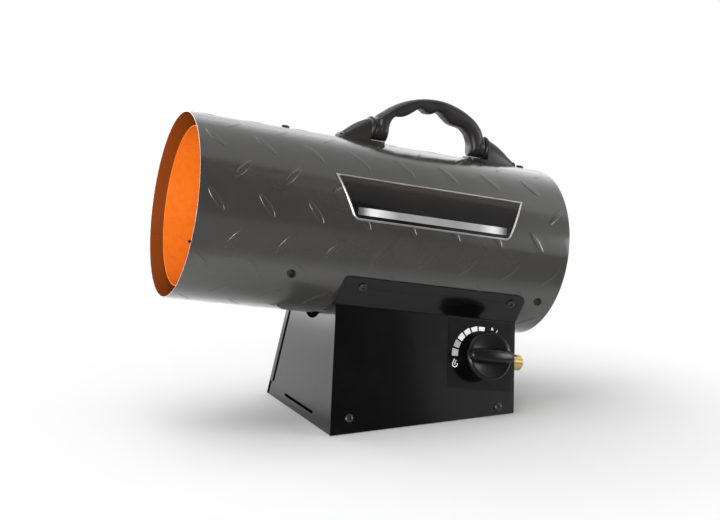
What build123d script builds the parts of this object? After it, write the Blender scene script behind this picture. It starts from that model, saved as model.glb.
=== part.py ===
from build123d import *

import math
import os

# Portable forced-air gas heater: a sheet-steel tube, tilted up toward its hot outlet,
# on a folded sheet base with a control knob, under a swinging carry handle.
#
# Every piece is drawn in the tube's own frame and then stood on the ground:
#   u (X) runs along the tube toward the air intake, w (Z) is square to it and up,
#   y (Y) runs across, with the control knob on the -Y side.
#   phi is the angle round the tube, from the top toward the knob side, in degrees.
# The finished part has its origin on the ground, under the middle of the base.
# All lengths are in millimetres.

# ---- sheet metal and fits -------------------------------------------------------------
SHEET = 1.0                 # sheet steel of the shell and the base
THIN_SHEET = 0.8            # sheet steel of the combustion chamber
SEAT = 0.15                 # gap between pieces that lie against each other
RUNNING = 0.05              # radial clearance of a shaft in its bore

# ---- tube -----------------------------------------------------------------------------
TUBE_R = 86.0               # outside radius of the shell
TILT = 9.0                  # the outlet end points up by this angle
AXIS_H = 178.0              # height of the tube's axis over the ground, at mid-length
REAR_EDGE = 18.5            # from the rear ring of screws to the shell's rear edge
RING_ANGLES = (0.0, 122.0, -122.0)

# ---- screws ---------------------------------------------------------------------------
SCREW_R = 1.9
SCREW_HEAD_R = 3.9
SCREW_HEAD_H = 2.3
SCREW_EDGE = 1.1            # bevel round the head
SCREW_HOLE_R = SCREW_R + 0.2
SHELL_SCREW_L = 6.0
COVER_SCREW_L = 7.0

# ---- base -----------------------------------------------------------------------------
BASE_L = 193.5              # from the front plate to the rear plate
BASE_INSET = 15.0           # rear plate, in front of the rear ring of screws
FOLD_Y = TUBE_R - 24.5      # fold between flange and side panel, from the middle
FOLD_W = TUBE_R - 16.8      # the same fold, below the tube's axis
UNDERGROUND_W = -AXIS_H - 32.0   # well below the ground, where the base's blanks end
SIDE_SLOPE = 14.5           # lean of the side panels
LIP_H = 17.0                # upturned lips of the base pan
RETURN_W = 8.0              # side cover's return flanges over the end plates
RETURN_T = SHEET + SEAT     # the end plates lie this far behind the returns
RETURN_LIFT = 15.0          # the returns end this far over the ground
COVER_LIFT = 0.4            # side covers clear the ground, so the pan carries the heater
FLANGE_CORNER_R = 9.0       # rear top corner of the flange
FLANGE_FRONT_R = 3.0        # front top corner of the flange
BEND_R = 0.8                # inside radius of a folded edge
RETURN_GAP = 2.0            # the returns start this far below the fold
NOTCH_R = 33.0              # wiring notch in the front plate, under the tube
NOTCH_W = 27.5 - TUBE_R     # height of its centre
SLOT_L = 80.0               # drain slot in the front plate
SLOT_H = 3.0
SLOT_LIFT = 8.0             # slot over the ground
FLANGE_SCREW_INSET = (20.2, 15.0)   # from the front and the rear plate
FLANGE_SCREW_DROP = 10.0    # below the flange's top edge
PANEL_SCREW_INSET = (18.0, 18.2)
PANEL_SCREW_LIFT = (14.5, 8.5)   # over the ground, along the panel
VENT_N = 5                  # vent slots in the rear plate
VENT_L = 46.0
VENT_H = 3.0
VENT_PITCH = 8.0
VENT_DROP = 26.8            # uppermost vent, below the fold

# ---- combustion chamber ---------------------------------------------------------------
CHAMBER_R = TUBE_R - 11.6   # outside radius of the inner tube
CHAMBER_RECESS = 10.0       # behind the shell's outlet edge
CHAMBER_L = 204.0
FRONT_SCREW_REACH = 86.5    # ring of screws that hold the chamber, behind its front edge
REAR_STANDOFF_REACH = 18.0  # rear brackets, in front of the end plate
REAR_STANDOFF_ANGLES = (60.0, 180.0, -60.0)
BURNER_BAY = 76.5           # from the chamber's end plate to the fan
END_RIM_L = 8.0             # rim of the chamber's end plate
SLOT_N = 20                 # air slots round the end plate
SLOT_R = (CHAMBER_R - 28.4, CHAMBER_R - 8.4)   # from radius to radius
SLOT_W = 4.0
CUP_R = 30.0                # burner cup
CUP_L = 56.0
CUP_FLANGE_R = 36.0
CUP_REACH = 10.0            # the cup's back stands this far behind the end plate
CUP_HOLE_R = 2.6
CUP_HOLES = 10
CUP_ROWS = 2
SPREADER_R = 25.0
SPREADER_GAP = 16.0         # spreader disc in front of the cup
LEG_W = 6.0
STANDOFF_L = 13.0           # each foot of a standoff, along the tube
STRAP_W = 14.0              # width of the standoffs and the jet's bracket

# ---- gas and ignition -----------------------------------------------------------------
JET_R = 5.0
PIPE_R = 3.175              # quarter-inch pipe
PIPE_BEND_R = 14.0
LEAD_R = 1.4
LEAD_SIDES = 8
RISER_REACH = 27.5          # pipe and leads rise this far behind the chamber
PROBE_Y = 13.0              # igniter and thermocouple, each side of the middle
PROBE_W = -40.0
INSULATOR_R = 3.2
ROD_R = 1.0
THERMO_R = 1.6
ROD_TAIL = 1.0              # spark wire behind its insulator
PROBE_TAIL = 24.0           # the probes' back ends, behind the end plate
GROMMET_R = 11.5
LEAD_GROMMET_R = 6.0        # smaller one, for the motor's lead
MOTOR_LEAD_R = 2.2
RISER_SIDE = 7.4            # leads pass the grommet beside the pipe
LEAD_DROP = 14.0            # leads run straight to this far under the shell
SWITCH_W = CHAMBER_R - 19.4  # overheat switch, over the axis
INLET_R = 7.94              # five-eighths flare thread
INLET_L = 15.0
INLET_TAPER = 2.5           # flare seat at its end
INLET_COLLAR_T = 4.5
INLET_HEX = 17.0            # across the flats of the inlet's collar and nut
INLET_SHANK_R = 7.0
INLET_BORE_R = 4.0
GLAND_R = 7.0               # cord gland, through the rear plate
GLAND_BORE_R = 4.0
CORD_Y = 46.0
CORD_LIFT = 28.0            # gland over the ground
MODULE_REACH = 80.0         # ignition module on the base pan, in front of the rear plate
MODULE_Y = 36.0
MODULE_SIZE = (46.0, 30.0, 24.0)
TERMINAL_REACH = 32.0       # mains terminal strip on the base pan, the same way
TERMINAL_Y = 30.0
TERMINAL_H = 8.0

# ---- fan and motor --------------------------------------------------------------------
SHAFT_R = 3.0
FAN_BAY = 37.0              # from the fan to the middle of the laminations
FAN_BLADES = 5
FAN_R = TUBE_R - 9.0
FAN_ROOT_R = 17.0
FAN_HUB_R = 21.0
BLADE_T = 1.2
ROOT_CHORD = 26.0
TIP_CHORD = 50.0
ROOT_PITCH = 42.0
TIP_PITCH = 24.0
STACK_L = 20.0
STACK_HALF_Y = 30.0
STACK_TOP = 21.0
STACK_BOTTOM = -52.0
ROTOR_R = 12.9
AIR_GAP = 0.5
LEG_T = 14.0                # laminated leg inside the coil
WINDOW_HALF_Y = 18.0
COIL_T = 6.5
BRIDGE_GAP = 7.0            # bearing bridge off the laminations
BRIDGE_T = 2.0
BRIDGE_W = 16.0
BEARING_R = 5.0
BOLT_Y = 24.0
BOLT_R = 2.0
SPIDER_T = 1.2
SPIDER_R = 33.0
ARM_W = 12.0
TAB_REACH = 9.7             # from the spider's plate to the rear ring of screws
MOTOR_LEAD_REACH = 6.0      # motor's lead leaves the tube this far before mid-motor

# ---- rear guard -----------------------------------------------------------------------
GUARD_REACH = 14.6          # rings, behind the rear ring of screws
GUARD_RINGS = (13.0, 30.0, 47.0, 64.5)
GUARD_WIRE_R = 1.3
GUARD_BARS = 8
WELD = 0.5                  # welded wires sink this far into each other

# ---- handle ---------------------------------------------------------------------------
PIVOT_H = 13.0              # pivot axis over the shell
LEG_REACH = 48.8            # outer end of the rear leg, in front of the rear ring of screws
LEG_SPAN = 117.6            # between the outer ends of the two legs
COLLAR_R = 12.0             # round collar of each boot
COLLAR_T = 4.6
LEG_COLLAR_R = 10.4         # thinner collar on each leg
LEG_COLLAR_T = 2.2
LEG_GAP = 0.3               # between a leg's collar and its boot's
ARCH_H = 52.0               # top of the grip over the shell
ARCH_R = 81.0               # arc along the top of the grip
GRIP_T = 20.0               # grip, measured across
GRIP_ROUND = 3.2            # rounding of the grip's long edges
# Inside of the front leg, three scallop teeth, inside of the rear leg:
# place behind the front leg's outer edge, depth under the arch's top.
GRIP_UNDER = (
    (15.0, 40.0), (16.0, 32.0), (19.4, 25.4), (25.4, 22.8), (31.9, 19.4), (38.4, 14.4),
    (45.4, 13.6), (52.4, 15.4), (59.4, 13.6), (66.4, 15.0), (73.9, 19.8), (81.4, 22.2),
    (88.4, 23.4), (95.4, 27.4), (100.4, 34.0), (102.4, 42.0),
)
PIN_R = 3.5
PIN_L = 15.0
EYE_DEPTH = 1.5             # the eye's bore goes on this far past its pin
BOOT_L = 35.0               # boot, from its collar to its tip
FOOT_T = 2.2
FOOT_HALF_Y = 11.0
TIP_HALF_Y = 6.5            # the foot narrows to its tip
FOOT_REACH = 20.0           # the foot runs this far under the leg
BOOT_SCREW_INSET = 4.5      # boot's screw, from its tip
BOOT_SCREW_L = 4.2          # short, so that it clears the motor's spider

# ---- control knob and valve (panel frame: u, v up the panel, n out of it) --------------
KNOB_REACH = 38.5           # knob's axis, in front of the rear plate
KNOB_DROP = 37.5            # below the fold, along the panel
KNOB_R = 23.8
KNOB_BASE_R = 17.0
KNOB_BASE_H = 5.4           # back of the knob over the panel
KNOB_RIM_H = 17.2
KNOB_FACE_H = 19.2
KNOB_GRIP_H = 28.0
KNOB_GRIP_T = 13.0
PUSH_L = 4.0                # travel of the knob when pushed
STEM_R = 3.0
NECK_R = 6.5
BONNET_T = 3.0
VALVE_R = 12.0
VALVE_BACK_H = 30.0         # back of the valve behind the panel's outside
VALVE_PORT_DEPTH = 18.0     # axis of its two ports, behind the same
VALVE_SCREW_X = (-11.0, 11.0)
VALVE_SCREW_R = 1.6
VALVE_HEAD_R = 2.8
PLUG_R = 8.0
PLUG_L = 14.0
FLAT_R = STEM_R - 0.8       # the stem's tail has a flat, so that it turns the plug
STEM_COLLAR_R = 5.0
STEM_COLLAR_T = 1.4
SPRING_WIRE_R = 0.35
SPRING_R = 4.1
SPRING_TURNS = 4
FAR = 60.0                  # longer than any bore or cut that runs right through
LABEL_T = 0.3
LABEL_REACH = (36.5, 34.5)  # scale plate, before and behind the knob's axis
LABEL_V = (-69.0, -2.0)

# ---- nameplate ------------------------------------------------------------------------
PLATE_PHI = 69.4            # middle of the plate round the tube
PLATE_HALF_H = 20.7
PLATE_TOP_U = (-61.7, 135.0)
PLATE_BOTTOM_U = (-43.3, 118.3)
PLATE_T = 0.8
PLATE_RIM_T = 1.5
PLATE_RIM_W = 1.8
PLATE_CORNER_R = 7.0


# ======================= frames and small helpers ======================================

def sind(angle):
    return math.sin(math.radians(angle))


def cosd(angle):
    return math.cos(math.radians(angle))


def tand(angle):
    return math.tan(math.radians(angle))


SPIDER_GAP = STACK_L / 2 + SEAT + BRIDGE_GAP + BRIDGE_T + SEAT
TUBE_L = (CHAMBER_RECESS + CHAMBER_L + BURNER_BAY + FAN_BAY
          + SPIDER_GAP + TAB_REACH + REAR_EDGE)
REAR_SCREW_U = TUBE_L / 2 - REAR_EDGE       # ring of screws that hold guard and motor
SPIDER_U = REAR_SCREW_U - TAB_REACH
STACK_U = SPIDER_U - SPIDER_GAP             # middle of the laminations
FAN_U = STACK_U - FAN_BAY
GUARD_U = REAR_SCREW_U + GUARD_REACH
MOTOR_LEAD_U = STACK_U - MOTOR_LEAD_REACH
CHAMBER_REAR_U = FAN_U - BURNER_BAY
CHAMBER_FRONT_U = CHAMBER_REAR_U - CHAMBER_L
FRONT_SCREW_U = CHAMBER_FRONT_U + FRONT_SCREW_REACH
RISER_U = CHAMBER_REAR_U + RISER_REACH
BASE_REAR_U = REAR_SCREW_U - BASE_INSET     # outside of the rear returns
BASE_FRONT_U = BASE_REAR_U - BASE_L         # outside of the front returns
KNOB_U = BASE_REAR_U - KNOB_REACH
LABEL_U = (KNOB_U - LABEL_REACH[0], KNOB_U + LABEL_REACH[1])
MODULE_U = BASE_REAR_U - MODULE_REACH
TERMINAL_U = BASE_REAR_U - TERMINAL_REACH
FLANGE_SCREW_U = (BASE_FRONT_U + FLANGE_SCREW_INSET[0], BASE_REAR_U - FLANGE_SCREW_INSET[1])
PANEL_SCREW_U = (BASE_FRONT_U + PANEL_SCREW_INSET[0], BASE_REAR_U - PANEL_SCREW_INSET[1])
PIVOT_W = TUBE_R + PIVOT_H
END_PLATE_U = CHAMBER_REAR_U - THIN_SHEET   # chamber's end plate, front face
CUP_BACK_U = CHAMBER_REAR_U + CUP_REACH
BRACKET_U = CUP_BACK_U + 6.0                # jet's bracket, behind the cup
PROBE_TAIL_U = CHAMBER_REAR_U + PROBE_TAIL
PLATE_FRONT_U = BASE_FRONT_U + RETURN_T     # front plate of the base pan, outside face
PLATE_REAR_U = BASE_REAR_U - RETURN_T       # rear plate, outside face
SPIDER_TAB_R = TUBE_R - SHEET - 2.6         # inside face of the spider's tabs
GUARD_TAB_R = SPIDER_TAB_R + SPIDER_T + SEAT / 2
BORE_TOP_H = -SHEET - SEAT - BONNET_T       # top of the valve's bore, behind its bonnet
PLUG_TOP_H = BORE_TOP_H - 8.2
PLUG_BOTTOM_H = PLUG_TOP_H - PLUG_L
LEG_REAR_U = REAR_SCREW_U - LEG_REACH
LEG_FRONT_U = LEG_REAR_U - LEG_SPAN
BOOT_FACE = (LEG_FRONT_U - LEG_COLLAR_T - LEG_GAP, LEG_REAR_U + LEG_COLLAR_T + LEG_GAP)
BOOT_TIP_U = (BOOT_FACE[0] - COLLAR_T - BOOT_L, BOOT_FACE[1] + COLLAR_T + BOOT_L)


def ground_x(u):
    """Where the plane square to the tube at u meets the ground, from under mid-tube."""
    return (u - AXIS_H * sind(TILT)) / cosd(TILT)


TUBE_X = -(ground_x(BASE_FRONT_U) + ground_x(BASE_REAR_U)) / 2
STAND = Plane(
    origin=(TUBE_X, 0, AXIS_H),
    x_dir=(cosd(TILT), 0, -sind(TILT)),
    z_dir=(sind(TILT), 0, cosd(TILT)),
).location
TILT_BACK = STAND.inverse()

# The knob-side panel: u along the tube, v up the panel, n out of its outside face.
PANEL = Plane(
    origin=(0, -FOLD_Y, -FOLD_W),
    x_dir=(1, 0, 0),
    z_dir=(0, -cosd(SIDE_SLOPE), sind(SIDE_SLOPE)),
).location
KNOB_AXIS = PANEL * Pos(KNOB_U, -KNOB_DROP, 0)


def section(u):
    """Plane square to the tube at u: sketch x is y, sketch y is w."""
    return Plane.YZ.offset(u)


def ring(r_out, r_in, u0, u1):
    """Hollow cylinder about the tube's axis."""
    return extrude(section(u0) * (Circle(r_out) - Circle(r_in)), u1 - u0)


def disc(radius, u0, u1, y=0.0, w=0.0):
    """Solid cylinder along the tube at (y, w)."""
    return extrude(section(u0) * Pos(y, w) * Circle(radius), u1 - u0)


def block(u0, u1, y0, y1, w0, w1):
    """Box between two corners in the tube's frame."""
    centre = Pos((u0 + u1) / 2, (y0 + y1) / 2, (w0 + w1) / 2)
    return centre * Box(u1 - u0, y1 - y0, w1 - w0)


def round_tube(phi, u=0.0, radius=0.0):
    """Place whose Z axis points out of the tube at angle phi."""
    return Pos(u, 0, 0) * Rot(phi, 0, 0) * Pos(0, 0, radius)


def upright(radius, z0, z1):
    """Cylinder on the local Z axis from z0 to z1."""
    return Pos(0, 0, (z0 + z1) / 2) * Cylinder(radius, z1 - z0)


def turned(*profile):
    """Solid of revolution about local Z, from (radius, z) corners."""
    return revolve(make_face(Plane.XZ * Polyline(*profile, close=True)), Axis.Z)


def above_ground(shape, lift=0.0):
    """Part of a tube-frame shape that stands over the ground by at least lift."""
    air = Pos(0, 0, lift) * Box(1000, 1000, 1000, align=(Align.CENTER, Align.CENTER, Align.MIN))
    return shape & (TILT_BACK * air)


def slab(z0, z1):
    """Level slab over the ground, in the tube's frame."""
    return TILT_BACK * (Pos(0, 0, (z0 + z1) / 2) * Box(1000, 1000, z1 - z0))


def screw(length):
    """Pan-head screw: the head's seat at local Z 0, the shank below it."""
    head = upright(SCREW_HEAD_R, 0, SCREW_HEAD_H)
    head = chamfer(head.edges().sort_by(Axis.Z)[-1], SCREW_EDGE)
    return head + upright(SCREW_R, -length, 0)


def hexagon(across_flats, z0, z1):
    """Hexagonal prism on the local Z axis."""
    flat = RegularPolygon(across_flats / 2, 6, major_radius=False)
    return Pos(0, 0, z0) * extrude(flat, z1 - z0)


def pipe(points, radii, r_out, sides=0):
    """Rod along straight runs joined by tangent arcs, round or with the sides given."""
    path = FilletPolyline(*points, radius=radii)
    start = Plane(origin=path @ 0, z_dir=path % 0)
    outline = RegularPolygon(r_out, sides) if sides else Circle(r_out)
    return sweep(start * outline, path=path)


def group(solids):
    """Separate solids that share one name."""
    return Compound(children=list(solids))


# ======================= tube and chamber ==============================================

def ring_screw_places(u):
    return [round_tube(phi, u, TUBE_R) for phi in RING_ANGLES]


def outer_shell():
    shell = ring(TUBE_R, TUBE_R - SHEET, -TUBE_L / 2, TUBE_L / 2)
    bore = upright(SCREW_HOLE_R, -4, 4)
    shell -= [place * bore for place in ring_screw_places(FRONT_SCREW_U)]
    shell -= [place * bore for place in ring_screw_places(REAR_SCREW_U)]
    shell -= [place * bore for place in flange_screw_places()]
    shell -= [place * bore for place in boot_screw_places()]
    shell -= round_tube(180, RISER_U, TUBE_R) * upright(GROMMET_R + SEAT, -6, 6)
    shell -= round_tube(180, MOTOR_LEAD_U, TUBE_R) * upright(LEAD_GROMMET_R + SEAT, -6, 6)
    return shell


def combustion_tube():
    return ring(CHAMBER_R, CHAMBER_R - THIN_SHEET, CHAMBER_FRONT_U, CHAMBER_REAR_U)


def standoff(hole):
    """Z bracket between the chamber and the shell, centred on local u 0, pointing out."""
    low = CHAMBER_R + SEAT
    high = TUBE_R - SHEET - SEAT * 2
    foot = STANDOFF_L
    profile = Polyline(
        (-foot, low), (0, low), (0, high - SHEET), (foot, high - SHEET), (foot, high),
        (-SHEET, high), (-SHEET, low + SHEET), (-foot, low + SHEET), close=True,
    )
    bracket = extrude(Plane.XZ * make_face(profile), STRAP_W / 2, both=True)
    bracket = Pos(-foot / 2, 0, 0) * bracket
    if hole:
        bracket -= upright(SCREW_HOLE_R, low, TUBE_R)
    return bracket


def front_standoffs():
    return group(round_tube(phi, FRONT_SCREW_U) * standoff(True) for phi in RING_ANGLES)


def rear_standoffs():
    place = END_PLATE_U - REAR_STANDOFF_REACH
    return group(round_tube(phi, place) * standoff(False) for phi in REAR_STANDOFF_ANGLES)


def shell_screws():
    """Front and rear rings of screws through the shell."""
    places = ring_screw_places(FRONT_SCREW_U) + ring_screw_places(REAR_SCREW_U)
    return group(place * Pos(0, 0, SEAT) * screw(SHELL_SCREW_L) for place in places)


def slot_angles():
    """Air slots all round, but for those behind the limit switch and the probes."""
    step = 360.0 / SLOT_N
    angles = [step * (k + 0.5) for k in range(SLOT_N)]
    return [a for a in angles if 14 < a < 346 and not 144 < a < 216]


def chamber_end_plate():
    """Slotted plate that closes the chamber behind the burner, with a turned rim."""
    r_out = CHAMBER_R - THIN_SHEET - SEAT
    plate = disc(r_out, END_PLATE_U, CHAMBER_REAR_U)
    plate += ring(r_out, r_out - THIN_SHEET, END_PLATE_U - END_RIM_L, CHAMBER_REAR_U)
    plate -= disc(CUP_R + SEAT, END_PLATE_U - 1, CHAMBER_REAR_U + 1)
    length = SLOT_R[1] - SLOT_R[0]
    middle = sum(SLOT_R) / 2
    slot = extrude(Plane.YZ * Pos(0, middle) * Rot(0, 0, 90) * SlotOverall(length, SLOT_W), 4, both=True)
    plate -= [Pos(END_PLATE_U, 0, 0) * Rot(a, 0, 0) * slot for a in slot_angles()]
    for side in (-1, 1):
        plate -= disc(INSULATOR_R + SEAT, END_PLATE_U - 1, CHAMBER_REAR_U + 1, side * PROBE_Y, PROBE_W)
    return plate


def burner_cup():
    """Perforated cup: gas and air mix in it, and its front rim carries the flame."""
    front = CUP_BACK_U - CUP_L
    cup = ring(CUP_R, CUP_R - THIN_SHEET, front, CUP_BACK_U)
    cup += disc(CUP_R, CUP_BACK_U - THIN_SHEET, CUP_BACK_U)
    cup += ring(CUP_FLANGE_R, CUP_R - 0.3, CHAMBER_REAR_U + SEAT, CHAMBER_REAR_U + SEAT + THIN_SHEET)
    cup -= disc(JET_R + SEAT, CUP_BACK_U - 2, CUP_BACK_U + 2)
    hole = upright(CUP_HOLE_R, CUP_R - 4, CUP_R + 4)
    for row in range(CUP_ROWS):
        u = front + 14 + 14 * row
        turn = 180.0 / CUP_HOLES * row
        cup -= [round_tube(360.0 / CUP_HOLES * k + turn, u) * hole for k in range(CUP_HOLES)]
    return cup


def flame_spreader():
    """Dished disc on three legs that seat inside the burner cup's mouth."""
    cup_front = CUP_BACK_U - CUP_L
    front = cup_front - SPREADER_GAP
    r_in = CUP_R - THIN_SHEET - SEAT
    dish = turned((0, 0), (SPREADER_R, -6), (SPREADER_R, -7), (0, -1))
    dish = Pos(front, 0, 0) * Rot(0, -90, 0) * dish
    leg = block(front + 5.5, cup_front + 9, -LEG_W / 2, LEG_W / 2, r_in - 1, r_in)
    tie = block(front + 5.5, front + 6.5, -LEG_W / 2, LEG_W / 2, SPREADER_R - 3, r_in)
    curve = disc(r_in, front, cup_front + 10)
    legs = [Rot(120 * k + 60, 0, 0) * ((leg + tie) & curve) for k in range(3)]
    return dish + legs


# ======================= gas path and ignition =========================================

def gas_jet():
    """Brass jet: threaded body with a hexagon and a tapered nose inside the cup."""
    nose = Pos(CUP_BACK_U - 9, 0, 0) * Rot(0, 90, 0) * turned(
        (0.8, 0), (2.2, 0), (JET_R, 5), (JET_R, 15 + SHEET), (0.8, 15 + SHEET))
    hexa = Pos(BRACKET_U + SHEET, 0, 0) * Rot(0, 90, 0) * (
        hexagon(12, 0, 3.5) - upright(0.8, -1, 5))
    return nose + hexa


def jet_bracket():
    """Sheet bridge over the back of the cup, foot to foot on the end plate."""
    foot_w = CUP_FLANGE_R + 1.0
    foot_u = CHAMBER_REAR_U + SEAT
    reach = foot_w + 7.0
    profile = Polyline(
        (foot_u, reach), (foot_u, foot_w), (BRACKET_U, foot_w), (BRACKET_U, -foot_w),
        (foot_u, -foot_w), (foot_u, -reach), (foot_u + SHEET, -reach),
        (foot_u + SHEET, -foot_w - SHEET), (BRACKET_U + SHEET, -foot_w - SHEET),
        (BRACKET_U + SHEET, foot_w + SHEET), (foot_u + SHEET, foot_w + SHEET),
        (foot_u + SHEET, reach), close=True,
    )
    strap = extrude(Plane.XY * make_face(profile), STRAP_W / 2, both=True)
    return strap - disc(JET_R + SEAT, BRACKET_U - 2, BRACKET_U + 3)


def jet_elbow():
    """Brass elbow behind the jet: gas comes up from the pipe and turns to the jet."""
    start = BRACKET_U + SHEET + 3.5 + SEAT
    arm = disc(6, start, RISER_U)
    corner = Pos(RISER_U, 0, 0) * Sphere(6)
    drop = Pos(RISER_U, 0, 0) * upright(6, -12, 0)
    nut = Pos(RISER_U, 0, 0) * hexagon(15, -21, -12)
    bore = Pos(RISER_U, 0, 0) * upright(PIPE_R + SEAT, -22, -4)
    return arm + corner + drop + nut - bore


def valve_port(u):
    """Centre of the valve's ports, which lie behind the panel, in the tube's frame."""
    point = (PANEL * Pos(u, -KNOB_DROP, -VALVE_PORT_DEPTH)).position
    return (point.X, point.Y, point.Z)


def gas_pipe():
    """Pipe from the valve's outlet along the base and up into the jet's elbow."""
    start = valve_port(KNOB_U - VALVE_R - 8)
    turn = valve_port(RISER_U + 18)
    level = start[2]
    points = [start, turn, (RISER_U, 0, level), (RISER_U, 0, -5.0)]
    return pipe(points, [PIPE_BEND_R, PIPE_BEND_R], PIPE_R)


def probe_bracket():
    """Sheet bridge on the end plate that holds igniter and thermocouple."""
    foot_u = CHAMBER_REAR_U + SEAT
    top_u = foot_u + 9
    half = PROBE_Y + 8
    profile = Polyline(
        (foot_u, half + 7), (foot_u, half), (top_u, half), (top_u, -half),
        (foot_u, -half), (foot_u, -half - 7), (foot_u + SHEET, -half - 7),
        (foot_u + SHEET, -half - SHEET), (top_u + SHEET, -half - SHEET),
        (top_u + SHEET, half + SHEET), (foot_u + SHEET, half + SHEET),
        (foot_u + SHEET, half + 7), close=True,
    )
    bracket = extrude(Plane.XY.offset(PROBE_W) * make_face(profile), 5, both=True)
    for side in (-1, 1):
        bracket -= disc(INSULATOR_R + SEAT, foot_u, top_u + 2, side * PROBE_Y, PROBE_W)
    return bracket


def igniter_insulator():
    body = disc(INSULATOR_R, CHAMBER_REAR_U - 26, PROBE_TAIL_U, PROBE_Y, PROBE_W)
    body += disc(INSULATOR_R + 1.4, CHAMBER_REAR_U + 10.4, CHAMBER_REAR_U + 14, PROBE_Y, PROBE_W)
    return body - disc(ROD_R + RUNNING, CHAMBER_REAR_U - 30, PROBE_TAIL_U + 1, PROBE_Y, PROBE_W)


def igniter_rod():
    """Spark wire: straight through the insulator, then bent in toward the cup's rim."""
    rim_u = CUP_BACK_U - CUP_L
    points = [(PROBE_TAIL_U + ROD_TAIL, PROBE_Y, PROBE_W), (rim_u + 12, PROBE_Y, PROBE_W),
              (rim_u - 5, PROBE_Y * 0.72, PROBE_W * 0.78)]
    return pipe(points, [8], ROD_R)


def thermocouple():
    """Sheathed probe with its collar on the bracket."""
    tip_u = CHAMBER_REAR_U - 44
    rod = disc(THERMO_R, tip_u, PROBE_TAIL_U, -PROBE_Y, PROBE_W)
    collar = disc(INSULATOR_R, CHAMBER_REAR_U - 6, CHAMBER_REAR_U + 16, -PROBE_Y, PROBE_W)
    head = disc(INSULATOR_R + 1.4, CHAMBER_REAR_U + 10.4, CHAMBER_REAR_U + 14, -PROBE_Y, PROBE_W)
    return rod + collar + head


def thermocouple_lead():
    """Lead from the probe's tail down through the riser grommet to the valve's back."""
    tail = PROBE_TAIL_U + SEAT
    valve = (PANEL * Pos(KNOB_U, -KNOB_DROP, -VALVE_BACK_H - SEAT)).position
    away = (PANEL * Pos(KNOB_U, -KNOB_DROP, -VALVE_BACK_H - 16)).position
    points = [
        (tail, -PROBE_Y, PROBE_W),
        (tail + 9, -PROBE_Y, PROBE_W),
        (tail + 9, -PROBE_Y, PROBE_W - 16),
        (RISER_U, -RISER_SIDE, PROBE_W - 32),
        (RISER_U, -RISER_SIDE, -TUBE_R - LEAD_DROP),
        (RISER_U + 22, -RISER_SIDE - 8, -TUBE_R - LEAD_DROP - 18),
        (away.X, away.Y, away.Z),
        (valve.X, valve.Y, valve.Z),
    ]
    return pipe(points, [5, 8, 8, 12, 12, 8], LEAD_R, LEAD_SIDES)


def igniter_lead():
    """Lead from the spark wire down through the riser grommet to the ignition module."""
    tail = PROBE_TAIL_U + ROD_TAIL + SEAT
    points = [
        (tail, PROBE_Y, PROBE_W),
        (tail + 9, PROBE_Y, PROBE_W),
        (tail + 9, PROBE_Y, PROBE_W - 16),
        (RISER_U, RISER_SIDE, PROBE_W - 32),
        (RISER_U, RISER_SIDE, -TUBE_R - LEAD_DROP),
        (MODULE_U, MODULE_Y, module_top_w() + 28),
        (MODULE_U, MODULE_Y, module_top_w() + SEAT + LEAD_R * tand(TILT)),
    ]
    return pipe(points, [5, 8, 8, 12, 12], LEAD_R, LEAD_SIDES)


def on_pan(u, y):
    """Level place on the base pan, under the tube-frame point (u, y)."""
    return TILT_BACK * Pos(TUBE_X + ground_x(u), y, SHEET)


def module_top_w():
    top = on_pan(MODULE_U + 4.0, MODULE_Y) * Pos(0, 0, MODULE_SIZE[2] + SEAT)
    return top.position.Z


def ignition_module():
    """Potted spark module on the base pan."""
    case = Pos(0, 0, SEAT + MODULE_SIZE[2] / 2) * Box(*MODULE_SIZE)
    case = fillet(case.edges().filter_by(Axis.Z), 3)
    ears = Pos(0, 0, SEAT + 1.0) * Box(MODULE_SIZE[0] + 18, 12, 2.0)
    holes = [Pos(side * (MODULE_SIZE[0] / 2 + 5), 0, 0) * upright(SCREW_HOLE_R, -1, 5) for side in (-1, 1)]
    return on_pan(MODULE_U, MODULE_Y) * (case + ears - holes)


def terminal_block():
    """Mains terminal strip on the base pan: three ways, with raised walls between them."""
    strip = Pos(0, 0, SEAT + TERMINAL_H / 2) * Box(14, 40, TERMINAL_H)
    walls = [Pos(0, -15 + 10 * k, SEAT + 5.5) * Box(14, 1.6, 11) for k in range(4)]
    return on_pan(TERMINAL_U, TERMINAL_Y) * (strip + walls)


def limit_switch():
    """Overheat switch: a snap disc on the chamber's end plate, with two tabs."""
    face = CHAMBER_REAR_U + SEAT
    can = disc(8.2, face, face + 9, 0, SWITCH_W)
    flange = block(face, face + 0.8, -13, 13, SWITCH_W - 6, SWITCH_W + 6)
    low, high = SWITCH_W - 3, SWITCH_W + 3
    tabs = [block(face + 8, face + 17, side - 0.4, side + 0.4, low, high) for side in (-4, 4)]
    return can + flange + tabs


def riser_grommet():
    """Rubber grommet in the shell's belly, round the gas pipe and the two leads."""
    place = Pos(RISER_U, 0, -TUBE_R)
    body = upright(GROMMET_R, -3.5, 5.2)
    body += upright(GROMMET_R + 2.5, -3.5, -0.2)
    body += upright(GROMMET_R + 2.5, 2.0, 5.2)
    body -= upright(PIPE_R + SEAT, -10, 10)
    for side in (-1, 1):
        body -= Pos(0, side * RISER_SIDE, 0) * upright(LEAD_R + SEAT, -10, 10)
    shell = ring(TUBE_R + SEAT, TUBE_R - SHEET - SEAT, RISER_U - 30, RISER_U + 30)
    bore = Pos(RISER_U, 0, -TUBE_R) * upright(GROMMET_R + 0.01, -8, 8)
    return place * body - (shell - bore)


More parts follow.
